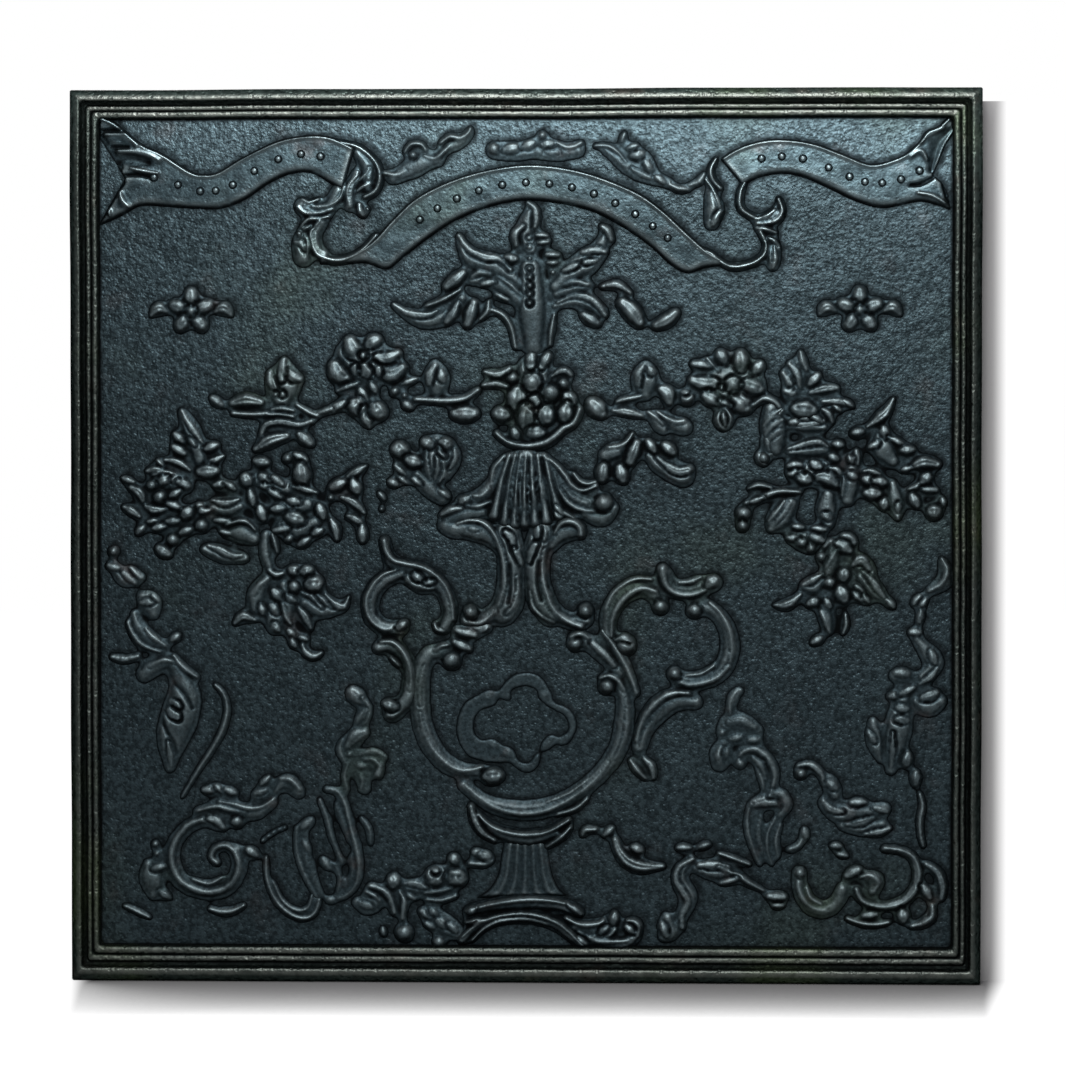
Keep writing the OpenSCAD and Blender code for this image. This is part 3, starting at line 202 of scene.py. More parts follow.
# %% Lamps and world
def softbox(name, place, target, size, watts, colour=(1, 1, 1)):
    """A rectangular lamp that looks at its target. Places and size are in m."""
    lamp = bpy.data.lights.new(name, "AREA")
    lamp.shape = "RECTANGLE"
    lamp.size, lamp.size_y = size
    lamp.energy = watts
    lamp.color = colour
    box = new_object(name, lamp)
    box.location = place
    box.rotation_euler = (Vector(target) - Vector(place)).to_track_quat("-Z", "Y").to_euler()

softbox("sheen_box", place=(0.13, -1.5, 1.02), target=(0, 0, 0.4), size=(0.6, 0.25), watts=26,
        colour=(1, 0.97, 0.92))
softbox("raking_strip", place=(0.06, -0.95, 1.5), target=(0, 0, 0.3), size=(0.3, 0.26), watts=20,
        colour=(1, 0.98, 0.95))
softbox("back_strip", place=(0.2, 1.0, 0.9), target=(0, 0, 0.1), size=(1.4, 0.5), watts=12)

world = bpy.data.worlds.new("studio")
bpy.context.scene.world = world
world.use_nodes = True
tree = world.node_tree
tree.nodes.clear()
out = node(tree, "ShaderNodeOutputWorld")
fill = node(tree, "ShaderNodeBackground", Color=(0.92, 0.96, 1.0, 1), Strength=0.12)
white = node(tree, "ShaderNodeBackground", Color=(1, 1, 1, 1), Strength=1.0)
seen, both = node(tree, "ShaderNodeLightPath"), node(tree, "ShaderNodeMixShader")
direct, mirrored = maths(tree, "MAXIMUM"), maths(tree, "MAXIMUM")
wire(tree, (seen, "Is Camera Ray", direct, 0), (seen, "Is Transmission Ray", direct, 1),
     (direct, 0, mirrored, 0), (seen, "Is Glossy Ray", mirrored, 1), (mirrored, 0, both, 0),
     (fill, 0, both, 1), (white, 0, both, 2), (both, 0, out, 0))
bpy.context.scene.view_settings.view_transform = "Standard"

# %% [markdown]
# ## The iron
# Sand-cast iron is grey, but a fireback is blacked: rubbed with graphite and wax until it is a
# dark blue-black with a soft sheen. Three effects are shared by every piece and are built once as
# node groups. The sand leaves a close grain of small pits. Rubbing takes the black off whatever
# stands proud and leaves it greyer and smoother, and the same masks carry a painted highlight on
# what faces up and painted shade, with the soot, in corners and on what faces down. The fire leaves
# faint brown rust and an olive tint in patches, and its group also paints a sheen that makes the
# plate lighter towards the top and a little darker low down.

# %% Node groups
FLOAT, COLOUR, VECTOR = "NodeSocketFloat", "NodeSocketColor", "NodeSocketVector"

def group(name, inputs, outputs, kind="ShaderNodeTree"):
    """A node group: returns it with its input node and its output node."""
    tree = bpy.data.node_groups.new(name, kind)
    for label, socket_type, value in inputs:
        socket = tree.interface.new_socket(label, in_out="INPUT", socket_type=socket_type)
        if value is not None:
            socket.default_value = value
    for label, socket_type in outputs:
        tree.interface.new_socket(label, in_out="OUTPUT", socket_type=socket_type)
    return tree, node(tree, "NodeGroupInput"), node(tree, "NodeGroupOutput")

# %% Sand grain
sand_grain, into, out = group("sand_grain",
    [("Place", VECTOR, None), ("Grain", FLOAT, 330.0), ("Pits", FLOAT, 0.5)],
    [("Height", FLOAT), ("Mottle", FLOAT)])
tree = sand_grain
coarse = node(tree, "ShaderNodeTexNoise", Detail=3.0, Roughness=0.55)
fine = node(tree, "ShaderNodeTexNoise", Detail=4.0, Roughness=0.6)
finer = maths(tree, "MULTIPLY", 3.1)
pit, pit_depth = node(tree, "ShaderNodeTexVoronoi", feature="F1"), ramp(tree, 0.05, 0.45)
blend, total = maths(tree, "MULTIPLY_ADD", 0.13), maths(tree, "MULTIPLY_ADD")
wire(tree, (into, "Place", coarse, "Vector"), (into, "Place", fine, "Vector"),
     (into, "Place", pit, "Vector"), (into, "Grain", coarse, "Scale"), (into, "Grain", finer, 0),
     (finer, 0, fine, "Scale"), (into, "Grain", pit, "Scale"),
     (pit, "Distance", pit_depth, "Value"), (fine, "Fac", blend, 0), (coarse, "Fac", blend, 2),
     (pit_depth, "Result", total, 0), (into, "Pits", total, 1), (blend, 0, total, 2),
     (total, 0, out, "Height"), (coarse, "Fac", out, "Mottle"))

# %% Worn edges with a painted highlight, and soot with painted shade in corners
rubbing_and_painted_light, into, out = group("rubbing_and_painted_light",
    [("Place", VECTOR, None), ("Wear and highlight", FLOAT, 0.0), ("Soot and shade", FLOAT, 0.0),
     ("Broken up", FLOAT, 0.5)],
    [("Rubbed and highlight", FLOAT), ("Sooty and shaded", FLOAT)])
tree = rubbing_and_painted_light
patches = node(tree, "ShaderNodeTexNoise", Scale=90.0, Detail=5.0, Roughness=0.65)
spread, soot_and_shade_patches = ramp(tree, 0.32, 0.62), ramp(tree, 0.2, 0.5)
hold = node(tree, "ShaderNodeMix", [(2, 1.0)], data_type="FLOAT")
# how worn and highlit, and how sooty and shaded, each point is, broken up in patches
rub_and_highlight, soot_and_shade_amount = maths(tree, "MULTIPLY"), maths(tree, "MULTIPLY")
wire(tree, (into, "Place", patches, "Vector"), (patches, "Fac", spread, "Value"),
     (into, "Broken up", hold, 0), (spread, "Result", hold, 3), (into, "Wear and highlight", rub_and_highlight, 0),
     (hold, 0, rub_and_highlight, 1), (rub_and_highlight, 0, out, "Rubbed and highlight"), (patches, "Fac", soot_and_shade_patches, "Value"),
     (into, "Soot and shade", soot_and_shade_amount, 0), (soot_and_shade_patches, "Result", soot_and_shade_amount, 1), (soot_and_shade_amount, 0, out, "Sooty and shaded"))

# %% Fire tints and a painted sheen
# the height in m, near enough, and how much the painted sheen lightens the colour there
SHEEN_STEPS = ((0.63, 1.0), (0.56, 0.45), (0.48, 0.40))
LOWEST_SHEEN_STEP = (0.41, 0.31)

fire_tint_and_sheen, into, out = group("fire_tint_and_sheen",
    [("Place", VECTOR, None), ("Black", COLOUR, (0.02, 0.026, 0.032, 1)),
     ("Olive", COLOUR, (0.020, 0.028, 0.014, 1)), ("Rust", COLOUR, (0.035, 0.018, 0.013, 1)),
     ("Olive share", FLOAT, 0.5), ("Rust share", FLOAT, 0.4), ("Painted top sheen", FLOAT, 2.6)],
    [("Colour", COLOUR), ("Cloud", FLOAT)])
tree = fire_tint_and_sheen
broad = node(tree, "ShaderNodeTexNoise", Scale=9.0, Detail=3.0, Roughness=0.5)
spots = node(tree, "ShaderNodeTexNoise", Scale=31.0, Detail=5.0, Roughness=0.6)
olive_mask, rust_mask = ramp(tree, 0.52, 0.72), ramp(tree, 0.56, 0.74)
olive_amount, rust_amount = maths(tree, "MULTIPLY"), maths(tree, "MULTIPLY")
with_olive, with_rust = (node(tree, "ShaderNodeMix", data_type="RGBA") for _ in range(2))
wire(tree, (into, "Place", broad, "Vector"), (into, "Place", spots, "Vector"),
     (broad, "Fac", olive_mask, "Value"), (spots, "Fac", rust_mask, "Value"),
     (olive_mask, "Result", olive_amount, 0), (into, "Olive share", olive_amount, 1),
     (rust_mask, "Result", rust_amount, 0), (into, "Rust share", rust_amount, 1),
     (olive_amount, 0, with_olive, 0), (into, "Black", with_olive, 6),
     (into, "Olive", with_olive, 7), (rust_amount, 0, with_rust, 0),
     (with_olive, 2, with_rust, 6), (into, "Rust", with_rust, 7), (broad, "Fac", out, "Cloud"))

# a painted sheen: the colour is painted lighter towards the top and a little darker low down,
# from a line that wanders and stands higher on the left, so the left is painted darker
heights, sheen_line = node(tree, "ShaderNodeSeparateXYZ"), node(tree, "ShaderNodeValToRGB")
wander, tilted = maths(tree, "MULTIPLY_ADD", 0.10), maths(tree, "MULTIPLY_ADD", 0.05)
steps = sheen_line.color_ramp.elements
for place, clean in SHEEN_STEPS:
    steps.new(place).color = (clean, clean, clean, 1)
steps.remove(steps[-1])
steps[0].position = LOWEST_SHEEN_STEP[0]
steps[0].color = (*[LOWEST_SHEEN_STEP[1]] * 3, 1)
sheen_amount = maths(tree, "MULTIPLY")
sheen_scaled = node(tree, "ShaderNodeVectorMath", operation="SCALE")
wire(tree, (with_rust, 2, sheen_scaled, 0), (into, "Place", heights, 0), (broad, "Fac", wander, 0),
     (heights, "X", tilted, 0), (heights, "Z", tilted, 2), (tilted, 0, wander, 2),
     (wander, 0, sheen_line, "Fac"), (sheen_line, "Color", sheen_amount, 0),
     (into, "Painted top sheen", sheen_amount, 1), (sheen_amount, 0, sheen_scaled, "Scale"),
     (sheen_scaled, 0, out, "Colour"))

# %% [markdown]
# ## Four finishes from the same groups
# The ground, the moulding, the ribbons and the ornament are one casting, but hands and brushes
# reach them differently, so each has its own amount of rubbing, tint and grain.

# %% Blacked iron
# the near-black of soot and of painted shade
SOOT_AND_SHADE_BLACK = (0.0022, 0.0026, 0.003, 1)
SOOT_ROUGHNESS = 0.85

def blacked_iron(name, black, rubbed_and_highlight, olive, rust, grain, pits, bump, roughness, polish,
                 speckle=0.3):
    """`black` and `rubbed_and_highlight` are colours, the second for worn places and the painted
    highlight, `olive` and `rust` shares of tint, `grain` how fine the sand is, `bump` its depth in
    m,
    `polish` the roughness of worn and highlit places, and `speckle` how much the grain shows in the
    colour."""
    material, tree, out = new_material(name)
    shader = node(tree, "ShaderNodeBsdfPrincipled", Metallic=1.0, Specular_Tint=(0.3, 0.3, 0.3, 1))
    place = node(tree, "ShaderNodeTexCoord")
    wear = node(tree, "ShaderNodeAttribute", attribute_name="wear")
    grime = node(tree, "ShaderNodeAttribute", attribute_name="grime")
    sand = node(tree, "ShaderNodeGroup", node_tree=sand_grain, Grain=grain, Pits=pits)
    rub_and_highlight = node(tree, "ShaderNodeGroup", node_tree=rubbing_and_painted_light, Broken_up=0.6)
    tint = node(tree, "ShaderNodeGroup", node_tree=fire_tint_and_sheen, Olive_share=olive, Rust_share=rust,
                Black=(*black, 1))
    wire(tree, (place, "Object", sand, "Place"), (place, "Object", rub_and_highlight, "Place"),
         (place, "Object", tint, "Place"), (wear, "Fac", rub_and_highlight, "Wear and highlight"), (grime, "Fac", rub_and_highlight, "Soot and shade"))
    # colour: tint with its painted sheen, then mottled by the grain, then worn places with the
    # painted highlight, then soot with painted shade
    mottle = ramp(tree, 0.32, 0.68, To_Min=1 - speckle, To_Max=1 + 1.1 * speckle)
    shade = node(tree, "ShaderNodeMix", [(0, 1.0)], data_type="RGBA", blend_type="MULTIPLY")
    worn = node(tree, "ShaderNodeMix", [(7, (*rubbed_and_highlight, 1))], data_type="RGBA")
    soot_and_shade_mix = node(tree, "ShaderNodeMix", [(7, SOOT_AND_SHADE_BLACK)], data_type="RGBA")
    wire(tree, (sand, "Mottle", mottle, "Value"), (tint, "Colour", shade, 6),
         (mottle, "Result", shade, 7), (rub_and_highlight, "Rubbed and highlight", worn, 0), (shade, 2, worn, 6),
         (rub_and_highlight, "Sooty and shaded", soot_and_shade_mix, 0), (worn, 2, soot_and_shade_mix, 6), (soot_and_shade_mix, 2, shader, "Base Color"))
    # roughness: worn places are smoother, soot and painted shade are dull, and the rest is a little
    # cloudy
    smooth = node(tree, "ShaderNodeMix", [(2, roughness), (3, polish)], data_type="FLOAT")
    dull = node(tree, "ShaderNodeMix", [(3, SOOT_ROUGHNESS)], data_type="FLOAT")
    shift, cloudy = maths(tree, "SUBTRACT", 0.5), maths(tree, "MULTIPLY_ADD", 0.18)
    wire(tree, (rub_and_highlight, "Rubbed and highlight", smooth, 0), (smooth, 0, dull, 2), (rub_and_highlight, "Sooty and shaded", dull, 0),
         (tint, "Cloud", shift, 0), (shift, 0, cloudy, 0), (dull, 0, cloudy, 2),
         (cloudy, 0, shader, "Roughness"))
    relief = node(tree, "ShaderNodeBump", Strength=1.0, Distance=bump)
    wire(tree, (sand, "Height", relief, "Height"), (relief, "Normal", shader, "Normal"),
         (shader, 0, out, "Surface"))
    return material

ground_iron = blacked_iron("ground_iron", black=(0.0134, 0.0205, 0.0245),
    rubbed_and_highlight=(0.095, 0.112, 0.117), olive=0.15, rust=0.1, grain=350, pits=0.25, bump=0.00058,
    roughness=0.38, polish=0.38, speckle=0.42)
moulding_iron = blacked_iron("moulding_iron", black=(0.012, 0.0165, 0.0155),
    rubbed_and_highlight=(0.12, 0.132, 0.125), olive=0.7, rust=0.2, grain=260, pits=0.5, bump=0.0008,
    roughness=0.44, polish=0.42)
ribbon_iron = blacked_iron("ribbon_iron", black=(0.0138, 0.0217, 0.0260),
    rubbed_and_highlight=(0.132, 0.168, 0.182), olive=0.3, rust=0.2, grain=330, pits=0.3, bump=0.00022,
    roughness=0.35, polish=0.35)
ornament_iron = blacked_iron("ornament_iron", black=(0.0133, 0.0206, 0.0248),
    rubbed_and_highlight=(0.113, 0.144, 0.157), olive=0.45, rust=0.3, grain=360, pits=0.3, bump=0.00026,
    roughness=0.5, polish=0.5)
print("finishes:", [m.name for m in (ground_iron, moulding_iron, ribbon_iron, ornament_iron)])

# %% [markdown]
# ## A surface drawn with lines
# The ornament is all ridges: stems, scroll bands, leaves, petals and berries. Each could be a
# curve swept with a round section, but swept tubes pass through one another and leave no fillets.
# A carver works on one surface instead, cutting round a form to make it stand clear of the next.
#
# So each ornament is a height map. A stroke is a smooth line with a half-width at its start,
# middle and end, and every point of a fine grid asks how far it is from the line. A new stroke
# first cuts a narrow channel round itself and is then laid in, which gives the crisp dark
# outlines that old castings have. Two kinds work differently: a body is a low swelling that the
# others are laid on, with no channel, and a cut is a groove in what is already there. The result
# is one closed shell per ornament.
#
# There are some seven hundred strokes, so they are written short, one kind after another, as
# `drawn` explains.

# %% Strokes
GRID = 0.62             # mm between height samples
SUNK = -2.0             # mm, underside of each ornament, inside the plate
OPEN_GROUND = -4.0      # mm, a height map's value where nothing stands

def berry(r, x, z):
    """A round berry, which is a stroke with hardly any length."""
    return ("berry", (r, r, r), [(x, z), (x + 0.01, z)])

def kind_of_stroke(kind):
    """A function that makes strokes of one kind from three half-widths and x, z places in mm."""
    def stroke(w0, w1, w2, *xz):
        return (kind, (w0, w1, w2), list(zip(xz[::2], xz[1::2])))
    return stroke

twig, leaf, plump, body = map(kind_of_stroke, ("twig", "leaf", "petal", "body"))

def petal(w0, w1, w2, *xz):
    """A petal stays broad to its ends."""
    return plump(max(w0, 0.74 * w1), 1.06 * w1, max(w2, 0.7 * w1), *xz)

STROKES = {"twig": twig, "leaf": leaf, "petal": petal, "body": body,
           "scroll": kind_of_stroke("scroll"), "cut": kind_of_stroke("cut")}

def places(text):
    """Reads places written as `x,z x,z`, in mm."""
    return [tuple(float(v) for v in place.split(",")) for place in text.split()]

def drawn(text):
    """Reads strokes written as `kind widths: x,z x,z`, with `;` or a new line between them. With
    one width it is the middle one, with two they are both ends and the middle. A stroke without
    its kind is like the one before. A line that starts with a space goes on from the last."""
    strokes, kind = [], ""
    for line in text.replace("\n ", " ").splitlines():
        for entry in line.split("#")[0].split(";"):
            if ":" not in entry:
                continue
            sizes, where = entry.split(":")
            kind = sizes.split()[0] if sizes.split()[0].isalpha() else kind
            w = [float(v) for v in sizes.replace(kind, "").split()]
            xz = [v for place in places(where) for v in place]
            if kind == "berry":
                strokes.append(berry(w[0], *xz))
            else:
                ends = {1: (0, w[0], 0), 2: (w[0], w[-1], w[0])}.get(len(w), w)
                strokes.append(STROKES[kind](*ends, *xz))
    return strokes

def between(a, b, c, d, u):
    """The place a share u of the way from b to c, on a Catmull-Rom line through all four."""
    return 0.5 * (2 * b + (c - a) * u + (2 * a - 5 * b + 4 * c - d) * u * u
                  + (3 * b - a - 3 * c + d) * u ** 3)

def smooth_line(points, spacing=0.9):
    """A smooth line through the points: its places, and how far along each is, from 0 to 1."""
    p = np.array([points[0], *points, points[-1]], float)
    line, along = [], []
    spans = len(points) - 1
    for i in range(spans):
        steps = max(1, math.ceil(np.hypot(*(p[i + 2] - p[i + 1])) / spacing))
        for u in np.arange(steps + (i == spans - 1)) / steps:
            line.append(between(*p[i:i + 4], u))
            along.append((i + u) / spans)
    return np.array(line), np.array(along)

def eased(u):
    """0 below 0 and 1 above 1, with a smooth step between."""
    u = np.clip(u, 0, 1)
    return u * u * (3 - 2 * u)

def half_width(widths, along):
    start, middle, end = widths
    return (start + (middle - start) * eased(2 * along)
            + (end - middle) * eased(2 * along - 1))

def measure(x, z, line, width):
    """For each point: its distance from the line, the line's half-width there, which side it lies
    on (-1 to 1 across the stroke) and the length run so far."""
    ratio = np.full(x.shape, np.inf)
    away, wide, side, run = (np.zeros(x.shape) for _ in range(4))
    so_far = 0.0
    for (ax, az), (bx, bz), wa, wb in zip(line[:-1], line[1:], width[:-1], width[1:]):
        dx, dz = bx - ax, bz - az
        length = math.hypot(dx, dz) or 1e-6
        u = np.clip(((x - ax) * dx + (z - az) * dz) / length ** 2, 0, 1)
        ex, ez = x - ax - u * dx, z - az - u * dz
        w = wa + (wb - wa) * u
        e = np.hypot(ex, ez)
        near = e / w < ratio
        ratio[near] = (e / w)[near]
        away[near], wide[near] = e[near], w[near]
        side[near] = (np.sign(ex * -dz + ez * dx) * e / w)[near]
        run[near] = (so_far + u * length)[near]
        so_far += length
    return away, wide, side, run

print("a stroke of 3 points has", len(smooth_line([(0, 0), (10, 5), (20, 0)])[0]), "places")

# %% [markdown]
# ## How each kind of stroke is rounded
# A twig is half-round. A scroll is a broad roll with a fine bead along one edge. A leaf has a
# groove for its midrib and slanting veins that reach its edge, and a petal is a plump dome with a
# faint groove a little off its middle. Heights follow width, as they do in carving: a wide form has
# room to rise further.

# %% Sections across a stroke
# how high each kind stands in mm, and how much more for each mm of half-width
RISE = {"twig": (1.6, 0.62), "leaf": (1.6, 0.55), "petal": (1.6, 0.5), "scroll": (1.8, 0.62),
        "berry": (1.3, 0.62), "body": (1.5, 0.2)}
VEIN_GAP = 3.1          # mm from one vein of a leaf to the next

def section(kind, side, wide, run):
    """Height over the width of a stroke, as a share of its rise."""
    q = np.clip(np.abs(side), 0, 1)
    dome = (1 - q ** 2.3) ** 0.72
    if kind == "scroll":
        groove = np.exp(-((side - 0.42) / 0.13) ** 2)
        return np.clip((1 - q ** 3) ** 0.6 * (1 - 0.42 * groove), 0, 1)
    if kind == "leaf":
        midrib = np.exp(-(side / 0.14) ** 2)
        veins = np.cos(2 * np.pi * (run - 0.8 * np.abs(side) * wide) / VEIN_GAP)
        return dome * (1 - 0.3 * midrib) + 0.1 * veins * q * (1 - q ** 4)
    if kind == "petal":
        fold = np.exp(-((side - 0.2) / 0.16) ** 2)
        return (1 - q ** 2.6) ** 0.68 * (1 - 0.13 * fold)
    return dome

# %% [markdown]
# ## From heights to a closed shell
# Only the part of the grid that stands above the ground is kept, with one cell more all round so
# that the jagged rim lies under the ground's surface. The shell gets a flat underside and short
# walls, so it is closed. Two numbers go with each point. One is how exposed it is, for rubbed
# edges, with a painted highlight where it faces up that fades towards the bottom. The other is how
# tucked in it is, for the soot and old blacking that stay in the corners, together with painted
# shade in creases, in low places and on flanks that face down.

# %% Height maps
LUMPS = (97, 89)        # bumps each way, after which they repeat

def lumps(x, z, size, seed):
    """Smooth random bumps between -1 and 1, about `size` mm apart."""
    table = np.random.default_rng(seed).uniform(-1, 1, LUMPS)
    gx, gz = x / size + 300, z / size + 300
    ix, iz = np.floor(gx).astype(int), np.floor(gz).astype(int)
    fx, fz = eased(gx - ix), eased(gz - iz)
    pick = lambda a, b: table[(ix + a) % LUMPS[0], (iz + b) % LUMPS[1]]
    return ((pick(0, 0) * (1 - fx) + pick(1, 0) * fx) * (1 - fz)
            + (pick(0, 1) * (1 - fx) + pick(1, 1) * fx) * fz)

def bell(steps, spacing, radius):
    """The weights of a blur, `steps` to either side."""
    weights = np.exp(-0.5 * (np.arange(-steps, steps + 1) * spacing / radius) ** 2)
    return weights / weights.sum()

def blurred(heights, radius):
    steps = max(1, int(3 * radius / GRID))
    kernel = bell(steps, GRID, radius)
    padded = np.pad(heights, steps, mode="edge")
    padded = np.apply_along_axis(np.convolve, 0, padded, kernel, "valid")
    return np.apply_along_axis(np.convolve, 1, padded, kernel, "valid")

CHANNEL, TWIG_CHANNEL = 0.2, 0.6    # how much height the channel round a stroke leaves
TWIG_FULLER = 1.35                  # a twig is laid in wider than it is written
LIP = 0.3                           # mm, how high a stroke stands at its very edge
CUT_DEPTH = 1.3                     # mm

class HeightMap:
    """A patch of the plate's face, in mm, with a height at each grid point."""
    def __init__(self, x0, x1, z0, z1, margin=5.0):
        snap = lambda v, up: GRID * (math.ceil(v / GRID) if up else math.floor(v / GRID))
        self.xs = np.arange(snap(x0 - margin, 0), snap(x1 + margin, 1), GRID)
        self.zs = np.arange(snap(z0 - margin, 0), snap(z1 + margin, 1), GRID)
        self.x, self.z = np.meshgrid(self.xs, self.zs, indexing="ij")
        self.h = np.full(self.x.shape, OPEN_GROUND)

    def window(self, line, reach):
        """The part of the grid that a line can touch."""
        lo, hi = line.min(0) - reach, line.max(0) + reach
        i = slice(*np.searchsorted(self.xs, (lo[0], hi[0])))
        k = slice(*np.searchsorted(self.zs, (lo[1], hi[1])))
        return i, k

    def carve(self, stroke):
        """Cuts the channel round a stroke and lays the stroke in."""
        kind, widths, points = stroke
        channel, fuller = (TWIG_CHANNEL, TWIG_FULLER) if kind == "twig" else (CHANNEL, 1)
        line, along = smooth_line(points)
        width = half_width(widths, along) * fuller
        at = self.window(line, width.max() + 4)
        x, z = self.x[at], self.z[at]
        away, wide, side, run = measure(x, z, line, width)
        if kind == "cut":
            self.h[at] -= np.where(self.h[at] > 0.5, CUT_DEPTH * np.exp(-(away / wide) ** 2), 0)
            return
        worn = 1 + min(0.12, 0.4 / width.max()) * lumps(x, z, 2.6, 41)
        away, side = away * worn, side * worn
        beyond = away - wide
        low, growth = RISE[kind]
        top = low + growth * wide
        inside = top * section(kind, side, wide, run)
        fillet = np.where(beyond < 1.0, LIP * (1 - beyond), -(beyond - 1.0) * 1.4)
        shape = np.where(beyond < 0, np.maximum(inside, LIP), fillet)
        room = np.where(beyond > 0, channel * top + 1.5 * beyond, np.inf)
        if kind == "body":
            room = np.inf
        self.h[at] = np.maximum(np.minimum(self.h[at], room), shape)

    def bed(self, height, reach):
        """Fills the gaps in a crowded piece with a low bed, which a lone stroke does not get."""
        crowd = blurred((self.h > 0).astype(float), reach)
        bed = height * eased((crowd - 0.3) / 0.35) + np.where(crowd > 0.3, 0, OPEN_GROUND)
        self.h = np.maximum(self.h, bed)

    def soften(self, radius=0.6):
        self.h = blurred(self.h, radius)

# %% Shells
def from_arrays(name, points, quads, loops=()):
    """A mesh from point and quad arrays, and perhaps a few longer loops of point numbers."""
    mesh = bpy.data.meshes.new(name)
    sizes = np.concatenate([np.full(len(quads), 4), [len(r) for r in loops]]).astype(np.int32)
    corners = np.concatenate([np.asarray(quads).ravel(), *loops]).astype(np.int32)
    mesh.vertices.add(len(points))
    mesh.vertices.foreach_set("co", (np.asarray(points) * MM).astype(np.float32).ravel())
    mesh.loops.add(len(corners))
    mesh.loops.foreach_set("vertex_index", corners)
    mesh.polygons.add(len(sizes))
    starts = np.concatenate([[0], np.cumsum(sizes)[:-1]])
    mesh.polygons.foreach_set("loop_start", starts.astype(np.int32))
    mesh.update(calc_edges=True)
    mesh.polygons.foreach_set("use_smooth", np.ones(len(sizes), bool))
    return mesh

def mark(mesh, **values):
    """Writes one number per point under each name, for the materials to read."""
    for name, numbers in values.items():
        layer = mesh.attributes.new(name, "FLOAT", "POINT")
        layer.data.foreach_set("value", np.clip(numbers, 0, 1).astype(np.float32).ravel())

def shell(name, field, shade=0.0):
    """The closed shell of a height map; `shade` is painted shade laid on beforehand."""
    # the cells to keep
    h = field.h
    near = h > 0
    keep = near[:-1, :-1] | near[1:, :-1] | near[1:, 1:] | near[:-1, 1:]
    for _ in range(6):      # cells that meet only at a corner get a neighbour
        one = keep[:-1, :-1] & keep[1:, 1:] & ~keep[1:, :-1] & ~keep[:-1, 1:]
        two = keep[1:, :-1] & keep[:-1, 1:] & ~keep[:-1, :-1] & ~keep[1:, 1:]
        if not (one.any() or two.any()):
            break
        keep[1:, :-1] |= one
        keep[:-1, :-1] |= two
    # their points, above and below
    i, k = np.nonzero(keep)
    rows = h.shape[1]
    cell = np.stack([i * rows + k, (i + 1) * rows + k, (i + 1) * rows + k + 1, i * rows + k + 1], 1)
    used, cell = np.unique(cell, return_inverse=True)
    cell = cell.reshape(-1, 4)
    n = len(used)
    x, z = field.x.ravel()[used], field.z.ravel()[used]
    top = np.maximum(h.ravel()[used], SUNK + 0.4)
    upper = np.stack([x, FACE_Y - top, z], 1)
    lower = np.stack([x, np.full(n, FACE_Y - SUNK), z], 1)
    # walls, wherever a cell's edge belongs to no other cell
    a, b = cell.ravel(), np.roll(cell, -1, axis=1).ravel()
    edge, back = a * n + b, b * n + a
    rim = ~np.isin(edge, back)
    walls = np.stack([b[rim], a[rim], a[rim] + n, b[rim] + n], 1)
    mesh = from_arrays(name, np.vstack([upper, lower]), np.vstack([cell, cell[:, ::-1] + n, walls]))
    # what stands proud is worn and gets a painted highlight, most of all where it faces up; what is
    # low or tucked in gets soot and painted shade, and what faces down gets painted shade
    bulge, swell = ((h - blurred(h, reach)).ravel()[used] for reach in (1.6, 2.6))
    slope = np.gradient(h, GRID, axis=1).ravel()[used]
    facing_up = eased(0.45 - slope / 1.4)
    wear = eased((swell + 0.1) / 1.3) * eased((top - 1.0) / 2.0) * (0.3 + 0.7 * facing_up)
    wear *= 0.68 + 0.32 * eased((z - 120) / 330)        # the painted highlight fades towards the bottom, as the light does
    grime = np.maximum(0.95 * eased((1.15 - top) / 0.7), 0.95 * eased((-bulge - 0.1) / 0.6))
    # painted shade on flanks that face down, away from the light
    grime = np.maximum(grime, 0.75 * eased((slope - 0.35) / 0.8))
    grime = np.maximum(grime, np.broadcast_to(shade, h.shape).ravel()[used])
    mark(mesh, wear=np.tile(wear, 2), grime=np.tile(grime, 2))
    return mesh

# %% [markdown]
# ## Nothing is quite straight
# Hand-made patterns are never true. Every piece goes through the same gentle bend, which only
# ever draws the outline inward, so that neighbours still meet and the plate keeps its size.

# %% Finishing a piece
def hand_made(mesh):
    """Bends a mesh in waves 120 to 330 mm long."""
    co = np.empty(len(mesh.vertices) * 3, np.float32)
    mesh.vertices.foreach_get("co", co)
    co = co.reshape(-1, 3)
    x, z = co[:, 0] / MM, co[:, 2] / MM
    edge_x = 0.28 + 0.17 * np.sin(z * 0.019 + 0.6) + 0.11 * np.sin(z * 0.053 + 2.0)
    edge_z = 0.28 + 0.17 * np.sin(x * 0.023 + 1.4) + 0.11 * np.sin(x * 0.047 + 0.3)
    co[:, 0] -= MM * edge_x * x / HALF_W
    co[:, 2] -= MM * edge_z * np.maximum(0, (2 * z / HEIGHT - 1))
    mesh.vertices.foreach_set("co", co.ravel())
    mesh.update()

def add_piece(name, mesh, material, slot, *nodes):
    """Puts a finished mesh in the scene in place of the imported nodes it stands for."""
    hand_made(mesh)
    mesh.materials.clear()
    mesh.materials.append(material)
    piece = new_object(name, mesh)
    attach(piece, "root")
    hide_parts(*nodes)
    return piece

# %% [markdown]
# ## The border
# A moulding is planed in long lengths, so its section is the same all the way and only its ends
# differ. Two sections make this border: a half-round rail on the outside, and inside it a band
# with a small bead, a fillet and a larger bead that drops to the ground. One node tree sweeps
# either section along a side and draws its ends in to a mitre. The mitres are then rounded a
# little, because loose sand does not hold a sharp inner corner. The bottom moulding is 5 mm wider
# than the others, so the lowest part of all the sides is stretched upward by that much.

